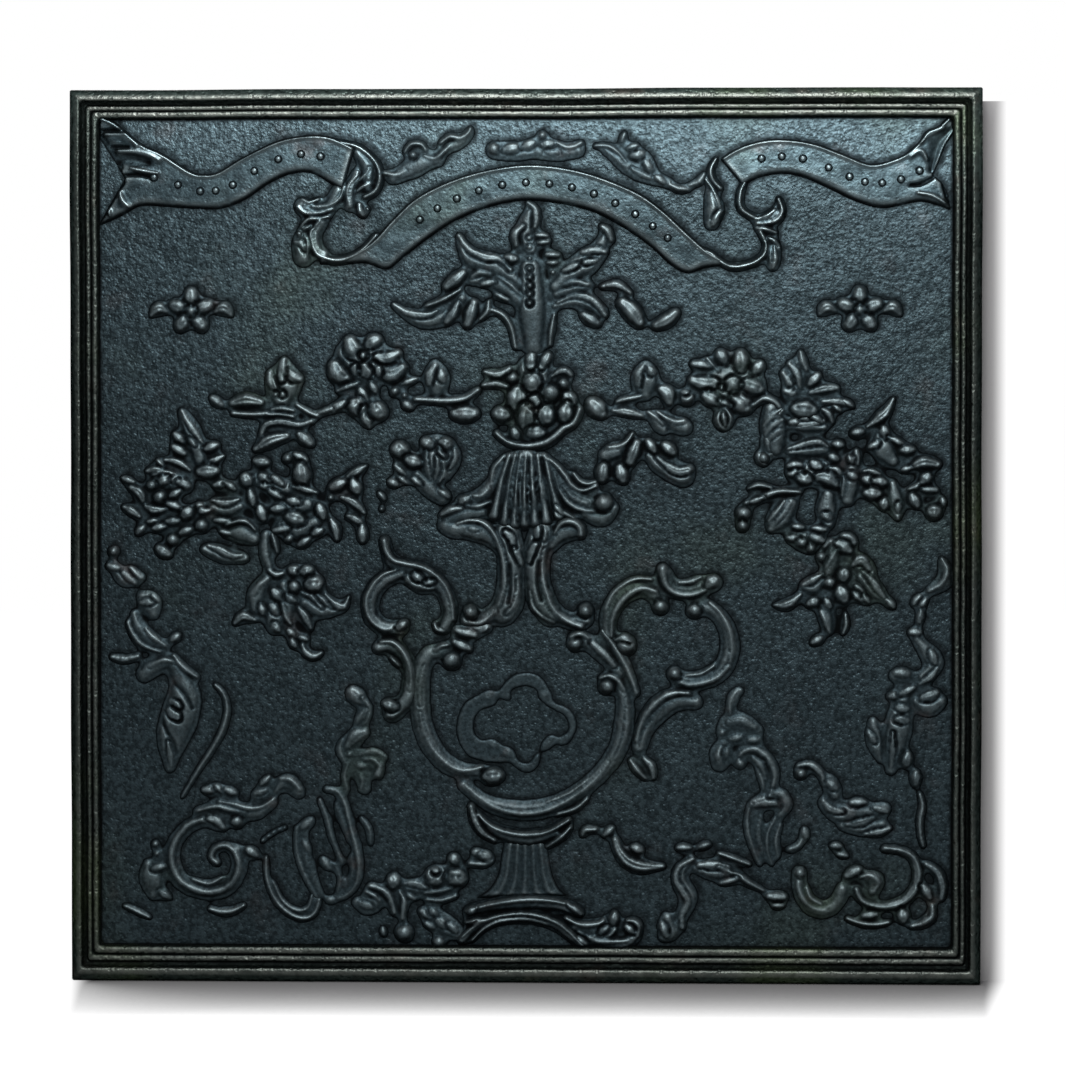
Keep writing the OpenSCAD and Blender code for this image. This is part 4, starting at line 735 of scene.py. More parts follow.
# %% Sections of the mouldings
def arc(middle, radius, start, end, steps):
    """Points on an arc, angles in degrees, 90 pointing away from the wall."""
    turn = np.radians(np.linspace(start, end, steps))
    return [(middle[0] + radius * math.cos(t), middle[1] + radius * math.sin(t)) for t in turn]

RAIL_W = HALF_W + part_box("bead_left")[0].x / MM
RAIL_H = FACE_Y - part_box("border_left")[0].y / MM
# places across, from the outer edge, with how far each lies below the crest
rail_top = [(0, 6.8), (0.35, 5.3), (1.1, 3.9), (2.2, 2.55), (3.4, 1.4), (4.6, 0.6), (5.6, 0.12),
            (6.3, 0), (6.9, 0.2), (7.4, 0.8), (7.75, 1.8), (8.1, 3.4), (8.5, 5.0), (9.1, 6.3),
            (RAIL_W, 6.9)]
rail_section = [(0.3, -0.5), (0, 0.2), *[(a, RAIL_H - drop) for a, drop in rail_top],
                (RAIL_W, -0.5)]
bead_section = ([(RAIL_W, -0.5), (RAIL_W, 4.2)]
                + arc((12.2, 5.0), 1.9, 178, 12, 11)
                + [(14.2, 4.6)] + arc((16.5, 4.7), 2.25, 172, 8, 13)
                + [(19.0, 3.2), (19.25, 1.2), (BORDER_W, 0.35), (BORDER_W, -0.5)])
print("rail", round(RAIL_W, 2), "mm wide and", round(RAIL_H, 2), "mm high")

# %% One node tree for every side
GEOMETRY, OBJECT, MATERIAL = "NodeSocketGeometry", "NodeSocketObject", "NodeSocketMaterial"

def moulding_tree():
    tree, into, out = group("mitred_moulding",
        [("Section", OBJECT, None), ("Length", FLOAT, 0.6), ("Spacing", FLOAT, 0.001),
         ("Material", MATERIAL, None)], [("Geometry", GEOMETRY)], kind="GeometryNodeTree")
    # a line along X from -L/2 to L/2
    half, less = maths(tree, "MULTIPLY", 0.5), maths(tree, "MULTIPLY", -0.5)
    start, end = node(tree, "ShaderNodeCombineXYZ"), node(tree, "ShaderNodeCombineXYZ")
    line = node(tree, "GeometryNodeCurvePrimitiveLine")
    stations = node(tree, "GeometryNodeResampleCurve")
    stations.mode = "LENGTH"
    wire(tree, (into, "Length", half, 0), (into, "Length", less, 0), (less, 0, start, "X"),
         (half, 0, end, "X"), (start, 0, line, "Start"), (end, 0, line, "End"),
         (line, "Curve", stations, "Curve"), (into, "Spacing", stations, "Length"))
    # the section, swept along it
    section_in = node(tree, "GeometryNodeObjectInfo")
    sweep = node(tree, "GeometryNodeCurveToMesh", Fill_Caps=True)
    wire(tree, (into, "Section", section_in, "Object"), (stations, "Curve", sweep, "Curve"),
         (section_in, "Geometry", sweep, "Profile Curve"))
    # mitre: the further across, the shorter
    where, parts = node(tree, "GeometryNodeInputPosition"), node(tree, "ShaderNodeSeparateXYZ")
    across = maths(tree, "DIVIDE")
    share = node(tree, "ShaderNodeMath", [(0, 1.0)], operation="SUBTRACT")
    shorter, put = maths(tree, "MULTIPLY"), node(tree, "ShaderNodeCombineXYZ")
    move, real = node(tree, "GeometryNodeSetPosition"), node(tree, "GeometryNodeRealizeInstances")
    paint = node(tree, "GeometryNodeSetMaterial")
    wire(tree, (where, 0, parts, 0), (parts, "Z", across, 0), (half, 0, across, 1),
         (across, 0, share, 1), (parts, "X", shorter, 0), (share, 0, shorter, 1),
         (shorter, 0, put, "X"), (parts, "Y", put, "Y"), (parts, "Z", put, "Z"),
         (sweep, 0, move, "Geometry"), (put, 0, move, "Position"), (move, 0, real, 0),
         (real, 0, paint, "Geometry"), (into, "Material", paint, "Material"), (paint, 0, out, 0))
    return tree

def evaluated(tree, name, **values):
    """Runs a node tree with the given inputs and returns its result as a plain mesh."""
    holder = new_object(name + "_nodes", bpy.data.meshes.new(name + "_nodes"))
    run = holder.modifiers.new("nodes", "NODES")
    run.node_group = tree
    for socket in tree.interface.items_tree:
        if socket.in_out == "INPUT" and socket.name in values:
            run[socket.identifier] = values[socket.name]
    depsgraph = bpy.context.evaluated_depsgraph_get()
    mesh = bpy.data.meshes.new_from_object(holder.evaluated_get(depsgraph), depsgraph=depsgraph)
    mesh.name = name
    bpy.data.objects.remove(holder)
    return mesh

mitred_moulding = moulding_tree()
print("inputs:", [s.name for s in mitred_moulding.interface.items_tree if s.in_out == "INPUT"])

# %% Sweeping and placing the sides
def section_object(name, points):
    """The section as a closed curve, turned the way the sweep expects it."""
    curve = bpy.data.curves.new(name, "CURVE")
    curve.dimensions = "3D"
    spline = curve.splines.new("POLY")
    spline.points.add(len(points) - 1)
    for point, (a, h) in zip(spline.points, reversed(points)):
        point.co = (h * MM, -a * MM, 0, 1)
    spline.use_cyclic_u = True
    return new_object(name, curve)

def positions(mesh):
    """A mesh's points, in mm."""
    co = np.empty(len(mesh.vertices) * 3, np.float32)
    mesh.vertices.foreach_get("co", co)
    return co.reshape(-1, 3).astype(float) / MM

FOOT_EXTRA = 5.0            # mm; the bottom moulding is planed that much wider than the others
# how worn the crests of each side are, with a painted highlight: the top gets the strongest, as if
# lit from above
RUBBED_AND_LIT = {"top": 0.9, "bottom": 0.4, "left": 0.18, "right": 0.18}

def wider_foot(z):
    """Stretches what lies low down upward, and lets the stretch die away above the moulding."""
    return z + FOOT_EXTRA * np.interp(z, (0, BORDER_W, 90), (0, 1, 0))

def moulding(name, section, side, crest, grooves):
    """One side of the border. `crest` is the height where the crests start to look worn and get a
    painted highlight, `grooves` lists places across the moulding that get painted shade."""
    length = HEIGHT if side in ("left", "right") else 2 * HALF_W
    mesh = evaluated(mitred_moulding, name, Section=section, Length=length * MM,
                     Spacing=1.1 * MM, Material=moulding_iron)
    co = positions(mesh)
    x, h, a = co[:, 0], -co[:, 1], co[:, 2]
    # round the mitre
    radius = 1.2 + 0.12 * a
    t = length / 2 - a - np.abs(x)
    turn = math.pi / 4 * np.clip(1 - t / radius, 0, 1)
    t_new = np.where(t < radius, radius * (1 - np.sin(turn)), t)
    x = np.sign(x) * (length / 2 - a - t_new)
    a = a + radius * (1 - np.cos(turn))
    # place it: x along the side, a inward from the outer edge
    px, pz = {"bottom": (x, a), "top": (-x, HEIGHT - a),
              "left": (a - HALF_W, HEIGHT / 2 - x), "right": (HALF_W - a, HEIGHT / 2 + x)}[side]
    pz = wider_foot(pz)
    # it is worn a little low, and its inner lines sway
    worn_down = 0.16 * (1 - lumps(px, pz, 23, 5)) + 0.08 * (1 - lumps(px, pz, 6, 6))
    sway = 0.12 * lumps(px, pz, 17, 8)
    h_new = np.where(h > 2, h - worn_down, h)
    inward = np.where((a > 3) & (h > 2), sway, 0)
    px = px + {"left": inward, "right": -inward}.get(side, 0)
    pz = pz + {"bottom": inward, "top": -inward}.get(side, 0)
    out = np.stack([px, FACE_Y - h_new, pz], 1) * MM
    mesh.vertices.foreach_set("co", out.astype(np.float32).ravel())
    # painted shade in the grooves
    grime = sum(np.exp(-((a - g) / 0.75) ** 2) for g in grooves)
    mark(mesh, wear=RUBBED_AND_LIT[side] * eased((h - crest) / 1.1), grime=grime)
    mesh.polygons.foreach_set("use_smooth", np.ones(len(mesh.polygons), bool))
    mesh.set_sharp_from_angle(angle=math.radians(50))
    return mesh

rail_curve = section_object("rail_section", rail_section)
bead_curve = section_object("bead_section", bead_section)
for side in ("top", "bottom", "left", "right"):
    rail = moulding("rail_" + side, rail_curve, side, RAIL_H - 1.3, (9.6,))
    add_piece("rail_" + side, rail, moulding_iron, "moulding", "border_" + side)
    beads = moulding("beads_" + side, bead_curve, side, 5.9, (10.2, 14.3, 19.4))
    add_piece("beads_" + side, beads, moulding_iron, "moulding", "bead_" + side)
    print(side, len(rail.polygons), len(beads.polygons), "faces")
bpy.data.objects.remove(rail_curve)
bpy.data.objects.remove(bead_curve)

# %% [markdown]
# ## Ribbons
# Three ribbons cross the top, each cut from a board of its own. The upper edge of the cloth is
# rolled forward and the lower edge curls away, which is why the upper edge shines and the lower
# one is dark; a band of painted shade along the lower edge makes it darker still. Their outline is
# two smooth edges, so the height comes from how far inside the outline a point lies and how far it
# is from either edge. The swallow tails are folded: a twig stroke raises a fold and a cut stroke
# hollows the cloth beside it. Plain pellets run along them.

# %% Bands with a raised edge
FOLD, HOLLOW = 1.9, 2.4     # mm, how far a fold rises and a hollow sinks
standing = []               # every height map, kept for the shadowed ground around it

def depth_inside(field, outline):
    """How far each grid point lies inside a closed outline, in mm; negative outside."""
    x, z = field.x, field.z
    inside = np.zeros(x.shape, bool)
    away = np.full(x.shape, np.inf)
    for (ax, az), (bx, bz) in zip(outline, np.roll(outline, -1, axis=0)):
        dx, dz = bx - ax, bz - az
        u = np.clip(((x - ax) * dx + (z - az) * dz) / (dx * dx + dz * dz + 1e-9), 0, 1)
        away = np.minimum(away, np.hypot(x - ax - u * dx, z - az - u * dz))
        if az != bz:
            inside ^= ((az > z) != (bz > z)) & (x < dx * (z - az) / dz + ax)
    return np.where(inside, away, -away)

def ribbon(name, top, bottom, before=(), after=(), folds=""):
    """A band between two edges. `before` and `after` are the points of the swallow tails, and
    `folds` holds the strokes that raise and hollow the cloth."""
    top_line, bottom_line = smooth_line(top)[0], smooth_line(bottom)[0]
    tails = [np.reshape(points, (-1, 2)) for points in (before, after)]
    outline = np.vstack([tails[0], top_line, tails[1], bottom_line[::-1]])
    (x0, z0), (x1, z1) = outline.min(0), outline.max(0)
    field = HeightMap(x0, x1, z0, z1)
    x, z = field.x, field.z
    depth = depth_inside(field, outline)
    from_top = measure(x, z, top_line, np.ones(len(top_line)))[0]
    from_bottom = measure(x, z, bottom_line, np.ones(len(bottom_line)))[0]
    cloth = 3.4 + 1.3 * np.exp(-((from_top - 1.3) / 0.85) ** 2) + 0.2 * lumps(x, z, 9, 3)
    cloth *= 0.3 + 0.7 * np.sqrt(1 - (1 - np.clip(from_bottom / 4.2, 0, 1)) ** 2)
    cloth *= np.clip(1 - (1 - np.clip(depth, 0, 0.8) / 0.8) ** 2, 0.1, 1)
    field.h = np.where(depth > 0, cloth, np.maximum(0.25 + depth * 0.6, OPEN_GROUND))
    for kind, widths, points in drawn(folds):
        line, along = smooth_line(points)
        away, wide, *_ = measure(x, z, line, half_width(widths, along))
        lift = -HOLLOW if kind == "cut" else FOLD
        field.h += np.where(depth > 0.3, lift * np.exp(-(away / wide) ** 2), 0)
    field.h = np.where(depth > 0.3, np.clip(field.h, 0.5, 5.4), field.h)
    field.soften(0.4)
    standing.append(field)
    # a band of painted shade along the lower edge, where the cloth curls away
    under = 0.9 * eased(1.15 - from_bottom / 3.4) * (depth > -1)
    add_piece(name + "_cast", shell(name, field, under), ribbon_iron, "ribbon", name)

# %% The three ribbons
left_top = places("""
-285.5,580.5 -276,577 -268,571 -257,562 -243,555.5 -224,543.5 -215,541.5 -205,543 -188,553
-165,563.5 -146,567 -130,566 -114,559""")
left_bottom = places("""
-285.5,508 -276,512 -268,516 -257,521 -240,520.5 -220,519 -204,519 -188,524.5 -172,535
-158,541.5 -143,542.5 -131,536 -122,531""")
arch_top = places("""
-137,487 -126,485.5 -115,488 -101,497 -88,511 -74,524 -58,533 -40,540 -20,545 0,547.5
20,546.5 40,542.5 60,535.5 78,527 93,516 108,502 121,490.5 132,484""")
arch_bottom = places("""
-137,481.5 -120,481.5 -106,482 -92,478 -80,487 -64,499 -46,510.5 -24,519.5 0,524 24,522
46,516.5 66,506 84,493 98,480.5 109,475 121,478.5 132,479.5""")
right_top = places("""
131,551 144,558.5 160,563 176,563.5 194,560.5 214,553 226,548 234,547 244,549.5 254,554
263,562 268,569 276,572.5 283,579""")
right_bottom = places("""
146,533 156,538.5 170,541 184,539.5 205,530.5 222,522.5 240,518.5 262,522.5 275,520
284,516.5""")

ribbon("ribbon_left", left_top, left_bottom, before=places("-268,539 -274,549 -280,558 -285.5,567"),
       folds="""
twig 1.6 2.2: -286,580 -279,578 -272,573; cut 1.2 1.6 1: -286,571 -276,571 -267,571
twig 1.4 2.2: -281,568.5 -271,568.5 -264,565 -260,561; cut 1 1.4: -277,560 -266,560
twig 1.6 2.4: -272,557.5 -262,557 -253,555.5 -245,551.5
cut 3 3.6 2: -270,551 -262,551.5 -252,549.5; twig 1 1.5: -264,546 -256,544 -246,542.5
cut 1 1.4: -268,541 -258,541.5 -249,539; 2.4 3.4 2: -284,567 -278,557 -271,546
1.2 2: -269,536 -276,527 -284,512
twig 1.4 2: -271.5,530 -269.5,524 -264.5,519.5; 1 1.5: -280,521 -278,514
""")
ribbon("ribbon_arch", arch_top, arch_bottom)
ribbon("ribbon_right", right_top, right_bottom, after=places(
    "285.5,575 285.5,568 280,559 276,549 272,540 278,535 282,528"), folds="""
twig 1.2 1.8: 264,562 270,567 279,571; cut 2.4 3.4 2: 284,570 277,563 273,553 271,543
twig 1 1.6: 257,552 264,556 268,550; cut 1 1.4: 272,538 264,534 257,533
1.2 1.6 1: 279,533 282,524 284,518; twig 1 1.5: 262,528 272,526 280,521
""")

# %% [markdown]
# ## Pellets
# Small domed pellets are set out evenly down the middle of each ribbon. They are all struck with
# one punch, so one pellet is turned on a lathe and a node tree puts a copy at every place, each
# turned a little differently and not quite the same size.

# %% Pellets
ROUND = 20              # points round a pellet
PELLET_SEAT = 3.5       # mm from the ground to the cloth that a pellet sits on
# from rim to crown: radius and height in mm, and how much painted shade and soot it gets
PELLET = [(2.9, -0.4, 1), (3.0, 0.0, 1), (2.9, 0.55, 0.7), (2.35, 0.75, 0.6), (2.2, 1.2, 0),
          (1.8, 1.75, 0), (1.2, 2.1, 0), (0.5, 2.2, 0)]

def lathe(name, profile):
    """Turns a profile of (radius, height) about the line that points out of the plate."""
    turn = 2 * math.pi * np.arange(ROUND) / ROUND
    points = [(r * math.cos(t), -h, r * math.sin(t)) for r, h in profile for t in turn]
    number = np.arange(len(points)).reshape(-1, ROUND)
    after = np.roll(number, -1, axis=1)
    quads = np.stack([number[:-1], after[:-1], after[1:], number[1:]], -1).reshape(-1, 4)
    return from_arrays(name, points, quads, [number[0, ::-1], number[-1]])

def pellet_tree():
    tree, into, out = group("pellets_on_places",
        [("Places", OBJECT, None), ("Pellet", OBJECT, None), ("Smallest", FLOAT, None),
         ("Seed", "NodeSocketInt", None), ("Material", MATERIAL, None)],
        [("Geometry", GEOMETRY)], kind="GeometryNodeTree")
    places_in, one = (node(tree, "GeometryNodeObjectInfo") for _ in range(2))
    spots = node(tree, "GeometryNodeMeshToPoints")
    put = node(tree, "GeometryNodeInstanceOnPoints")
    size = node(tree, "FunctionNodeRandomValue", [(3, 1.0)], data_type="FLOAT")
    angle = node(tree, "FunctionNodeRandomValue", [(3, 6.28)], data_type="FLOAT")
    spin = node(tree, "ShaderNodeCombineXYZ")
    real, paint = node(tree, "GeometryNodeRealizeInstances"), node(tree, "GeometryNodeSetMaterial")
    wire(tree, (into, "Places", places_in, "Object"), (into, "Pellet", one, "Object"),
         (places_in, "Geometry", spots, "Mesh"), (spots, 0, put, "Points"),
         (one, "Geometry", put, "Instance"), (into, "Smallest", size, 2),
         (into, "Seed", size, "Seed"), (into, "Seed", angle, "Seed"), (angle, 1, spin, "Y"),
         (spin, 0, put, "Rotation"), (size, 1, put, "Scale"), (put, 0, real, 0),
         (real, 0, paint, "Geometry"), (into, "Material", paint, "Material"), (paint, 0, out, 0))
    return tree

def curve_at(points, f):
    """The place a share f of the way along the points, counted in spans."""
    p = np.array([points[0], *points, points[-1]], float)
    t = f * (len(points) - 1)
    i = min(int(t), len(points) - 2)
    return between(*p[i:i + 4], t - i)

pellet_mesh = lathe("pellet", [(r, h) for r, h, _ in PELLET])
around = np.repeat(PELLET, ROUND, axis=0)
mark(pellet_mesh, wear=0.55 * eased((around[:, 1] - 1.3) / 0.9), grime=around[:, 2])
one_pellet = new_object("one_pellet", pellet_mesh)
pellets_on_places = pellet_tree()

def pellet_row(name, top, bottom, start, end, count):
    """Pellets halfway between a ribbon's edges, from one share of its length to another."""
    middle = [(curve_at(top, f) + curve_at(bottom, f)) / 2
              for f in (start + (end - start) * i / (count - 1) for i in range(count))]
    dots = bpy.data.meshes.new(name + "_places")
    dots.from_pydata([(x * MM, (FACE_Y - PELLET_SEAT) * MM, z * MM) for x, z in middle], [], [])
    row = new_object(name + "_places", dots)
    mesh = evaluated(pellets_on_places, name, Places=row, Pellet=one_pellet, Smallest=0.93,
                     Seed=4, Material=ribbon_iron)
    bpy.data.objects.remove(row)
    add_piece(name + "_cast", mesh, ribbon_iron, "ribbon", name)

pellet_row("pellets_left", left_top, left_bottom, 0.3, 0.88, 9)
pellet_row("pellets_arch", arch_top, arch_bottom, 0.3, 0.82, 13)
pellet_row("pellets_right", right_top, right_bottom, 0.14, 0.78, 9)
bpy.data.objects.remove(one_pellet)

# %% [markdown]
# ## Carved ornament
# Every block below is one of the pattern-maker's pieces, written in the order a carver would lay
# it in: what lies behind comes first and what overlaps comes last. Each stroke gives its
# half-widths and then x, z places in mm. When a piece is finished it is brought to the height
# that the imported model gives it.

# %% Laying in a piece
LONE_BED = (1.5, 2.0)           # mm, how high a bed is and how far it reaches
CROWDED_BED = (1.1, 2.6)

def relief(name, strokes, share=0.95, material=ornament_iron, slot="ornament", crowded=False):
    """Carves one piece. `share` is how much of its packed height it takes up, and a crowded piece
    gets a wider, lower bed."""
    ends = np.array([p for _, _, points in strokes for p in points])
    (x0, z0), (x1, z1) = ends.min(0), ends.max(0)
    widest = max(max(widths) for _, widths, _ in strokes)
    field = HeightMap(x0, x1, z0, z1, margin=widest + 5.0)
    for stroke in strokes:
        field.carve(stroke)
    low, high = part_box(name)
    height = FACE_Y - low.y / MM
    field.h = np.where(field.h > 0, field.h * share * height / field.h.max(), field.h)
    field.bed(*(CROWDED_BED if crowded else LONE_BED))
    field.soften()
    standing.append(field)
    add_piece(name + "_cast", shell(name, field), material, slot, name)

# %% [markdown]
# ## Where the ribbons end
# The ends of the ribbons roll over. Their scrolls, leaf curls and beads are laid on top of the
# flat bands, a little higher than them.

# %% Rolled ends of the ribbons
relief("ribbon_knot_left", drawn("""
# the band turns over
body 3 5 4: -112,556 -105,546 -105,533; 3 4.5 4: -112,542 -117,530 -117,521
4 5 5: -125,530 -131,520 -143,517.5 -149,519.5; 3.5 4.5 3: -136,509 -141,501 -139.5,492 -134,488
5 6.5 6: -149,498 -148.5,486
twig 1.1 1.6 1.3: -127,563 -113,560 -104,554 -98,546 -97,537 -100,530 -107,526
0.8 1.3: -104,545 -107.5,540 -112,536; 0.9 1.6 1: -102,535 -107,533.5 -112,530
1 1.3: -112,540 -117,535 -119,528 -117,520; petal 2.6: -110.5,521 -110,517 -108,514
berry 1.6: -105,518
# its rim runs on down to the arch
twig 1 1.4 1.2: -121,533 -123,526 -129,521 -138,519.5 -147,521.5
1 1.5 1.3: -128,518 -137,515.3 -147,515.3 -152,519.5; 0.8 1.2: -138,524.5 -144,522.5 -149,524.5
1 1.5 1.2: -131,513 -138,511.5 -145,511 -149,506
1.2 1.7: -137,510 -143,503 -142.5,495 -139,488 -133,485 -124,483.7 -115,486.5 -107,492 -99,500.5
# leaf curls on the turn
petal 1.5: -148,504.5 -143,507; berry 2.2: -151,501.5; petal 2.2: -154,496 -150,495 -147,491
twig 1 1.5: -146,499 -145,493 -145.5,487
"""), share=1.15, material=ribbon_iron, slot="ribbon")
relief("ribbon_knot_right", drawn("""
# the end rolls over and hangs
body 4 6: 125,527 126.5,517 125,508; twig 1 1.5 1.2: 128,551 124.5,544 125.5,537 131,531
0.9 1.3: 121,537 126,530 129.5,522 131.5,515; petal 2.6: 130.5,515 128,511 126,507
# its rim runs on down to the arch
twig 1 1.5 1.2: 147,535 144,528 144,519 149,514 156,510.5
1 1.6 1.2: 157,503 161,495 160.5,488 155,482.5 147,479.5 138,479 130,483 124,488 115,491
# leaf curls on the turn
body 2 4 4: 155,509 163,511 169,514; twig 0.8 1.4 1: 155,511 162,513 167,517
1 1.6 1.3: 155,507.5 163,508 169,510.5 172,516 169.5,524; 0.9 1.5: 155,504.5 161,504 168,501.5
petal 1.9: 163,498 167,496 170,491; body 3.5 4.4: 166,491 166,480
petal 1.8: 167,492 168,484 166,478
"""), share=1.15, material=ribbon_iron, slot="ribbon")

# %% [markdown]
# ## Sprigs along the top
# Three small sprigs fill the space above the arch. They are the lowest of the flowers.

# %% Sprigs
relief("crest_left", drawn("""
body 4 6.5: -88,539 -76,545 -66,550 -58,551; 2.5 3.5 2: -60,552 -51,559 -42,563 -36,569
twig 1.2 1.8 1.4: -94,542 -86,540.5 -80,543; 1 1.5: -80,556 -76,561 -69,561 -66,557
berry 3.4: -74.5,554; twig 1.2 1.9: -67,553.5 -60,551.5 -54,556 -50,560
1.2 1.8: -56,562 -50,566 -43,565 -38,568 -36,571.5
"""))
relief("crest_centre", drawn("""
body 5 5.5 4: -20,557 -6,556.5 8,557; 4 4.6: 8,556.5 22,555.5 36,557; berry 4.6: -20.5,558
petal 4.2: -13,557.5 -4,559; 3.6: 0,559.5 6,562; berry 3.2: 12,567; petal 3.6: 12,561 19,561.5
leaf 1 2.2 1.2: 14,556 23,555.5; twig 1.2 1.9 1.4: 22,562 28,559 33,559.5 38,562
"""))
relief("crest_right", drawn("""
body 2 5.5 3: 54,557 67,548 80,541 96,535; 4 5: 73,556 80,550 84,544
twig 1 1.5: 47,560 56,559.5 63,555 68,549; petal 4.2: 72,553 78,554.5; 2.4: 69,558 75,560
2: 65,563 67,568; 3: 81,549 84,543; leaf 1.2 2.2 1.4: 72,544 80,540 88,537; petal 3: 88,539 93,535
twig 1.2 2: 97,533.5 103,531 109,530.5; leaf 1.2 2.2: 110,533 117,536 120,541
"""))

# %% [markdown]
# ## Rosettes
# A plain five-petalled flower between two leaves stands on each side. The petals repeat round a
# circle, so their places are worked out and not written down.

# %% Rosettes
def rosette(x, z, petals=5, petal_w=5.0, reach=12.0, leaf_reach=27.0):
    """A flower of `petals` that reach so far from its middle, between two leaves."""
    strokes = []
    for side in (-leaf_reach, leaf_reach):
        strokes.append(leaf(2, 4.5, 1.5, x + 0.6 * side, z, x + 0.82 * side, z + 0.07 * leaf_reach,
                            x + side, z - 0.11 * leaf_reach))
    for k in range(petals):
        turn = math.radians(90 + k * 360 / petals)
        ux, uz = reach * math.cos(turn), reach * math.sin(turn)
        strokes.append(petal(0.5 * petal_w, petal_w, 0.9 * petal_w, x + 0.45 * ux, z + 0.45 * uz,
                             x + ux, z + uz))
    return strokes + [berry(0.8 * petal_w, x, z)]

relief("rosette_left", rosette(-224, 450))
relief("rosette_right", rosette(224, 450))

# %% [markdown]
# ## Plume
# Acanthus leaves rise from the fruit in the urn and curl outward, with a row of small berries up
# the middle.

# %% Plume
relief("plume", drawn("""
# trunk
body 8 10 7: 4,478 5,452 6,427; twig 1 1.6: -24,451 -15,447.5 -9,439 -6,425
1 1.4: 20,447 18,437 17,427
# finial
body 4 6 5: 4,515 1,503 4,492; leaf 1.2 2.8 2: 2,522.5 7,518 8,511 7,506
petal 3: -5.5,494 -6,501 -2,506; 2.2: 8,500.5 15,500; 2.2: 9,495.5 16,496; 2.6: 15,487.5 23,487
2.4: 16,482 22,482; berry 2: 19,475.5; petal 3.6: -12,485 -6,484.5; berry 2: -9,477.5
# left leaves, from their tips inward
body 1.5 5 4: -88,454 -77,446.5 -64,443.5 -50,448 -42,458
leaf 1.2 3 1.4: -88,454.5 -78,448.5 -66,447 -58,450; twig 1 1.7: -66,453 -54,457.5 -43,464
petal 3.8: -52,442.5 -48,447.5 -45,454; 4.6: -38,441 -36,448 -34,455
twig 1 1.6: -30,444 -25,449 -24,456; petal 4.6: -52,466 -46,470.5 -41,475
body 3.5 5.6 4: -35,471 -22,470 -10,463 0,453; petal 2.6: -35,473 -30,475.5 -23,474.5
2.6: -28,467.5 -21,469; twig 1 1.7: -19,473.5 -9,467 -2,460; petal 2: -19,461 -11,457
body 3 7: -42,494 -36,484 -22,481 -8,472 1,463
leaf 1.8 3 1.4: -44,500 -37,491 -27,486 -17,484.5 -9,477
# right leaves
petal 4.5: 101,448 95,443 88,440; 6: 66,455 72,449 77,442; 4: 40,447 49,441.5
leaf 1.5 3: 52,466 62,467 71,461.5; body 2 5 4: 20,453 32,457 43,455 52,449
leaf 1.2 2.8 2: 22,455.5 33,460 43,458.5 50,453 54,447; body 3 5: 21,461 32,465 43,467
petal 2.4: 24,466.5 33,469.5 43,467.5; body 3.5 8 5: 54,499 46,486 33,477 21,466
petal 2.8: 52,506 56,502.5 58,497; 2.8: 39,489 46,490.5 54,489; 2.2: 40,482 48,483
2.4: 26,477 35,480.5
""") + [berry(1.8, 3.5, z) for z in (455, 461, 466.5, 472, 478, 485, 492.5, 498.5)])

# %% [markdown]
# ## The urn
# Grapes and small fruit fill the top, then come a fluted shell that forms the lid, a neck between
# two C-scrolls, a round bowl made of nothing but scrolls, and a dish under it. The bowl itself is
# the bare ground seen between them, with a faint cartouche in the middle.

# %% Fruit
relief("flower_cluster", drawn("""
body 12 15 8: 6,408 6,388 6,368; petal 4.3: 4,413 5,420; 3 4: 12,413 16,420; berry 7: 5,402
4.6: 26,401; 4.6: -8,405; leaf 1.5 3 2: -27,409 -18,407 -10,411; 1.5 2.8 2: -28,400 -19,401 -12,399
1.5 2.8 2: 18,406 26,410 31,407; berry 7: 17.5,395; petal 6.6: -5,396 -6,386; berry 4.6: 7,389.5
petal 5: 28,393 32,389; 5 6 2: 1,383.5 0,373; 4.6 6 5: 15.5,383 15,377.5; 3.6 5.6 4: -18,381 -12,380
4.5 6 3.6: 28,385 27,378; 3.4 4.8: 4,368 12,368; 4: -7,370 -5,365
twig 1.5 2.4 1.8: -19,368 -11,362 0,359.5 12,361 20,365.5 26,371 33,375 37,384
"""), share=1.0)

# %% Shell lid
flute_feet = places("-20,313 -13,309 -6.5,307.5 0,308 7,308.5 14.5,310 23,313.5")
relief("shell_lid", drawn("""
body 8 13 19: 1,350 1,338 1,328; 3 5 4: -15,348 -21,334 -32,324 -42,322
4 7 5: 17,346 26,331 38,322 50,320
""") + [
    # the flutes touch one another all the way down and end in round lobes at the lip
    twig(1.5, 2.4, 3.3, 1 + 0.55 * x, 353, 0.74 * x, 338, 0.9 * x, 323, x, low)
    for x, low in flute_feet
] + drawn("""
# right volute
twig 1.2 1.8: 12,353 20,348 27,340 32,333 39,329.5 48,332.5; 0.9 1.2: 33,341 37,336 42,334 48,335.5
1.2 2 1.4: 20,341 23,331 29,322 37,317 47,315.5; 1 1.4: 26,332 33,324 42,321
body 3 5: 40,314 52,311 60,318; twig 1.2 1.8: 21,318.5 27,314.5 33,311; berry 6.8: 53,321
# left volute
twig 0.9 1.3: -14,352 -20,345 -22.5,336; 1.2 1.8: -24,331 -29,326 -37,326; petal 4: -42,322 -38,324
twig 1.2 2: -39,319 -31,319 -23,322; body 4 5.6: -28,315 -40,313.5 -52,309
5 6 4: -53,306 -45,303.5 -37,306; twig 1.4 2.6 1.6: -55.5,313 -49,316.5 -42,317.5
"""))

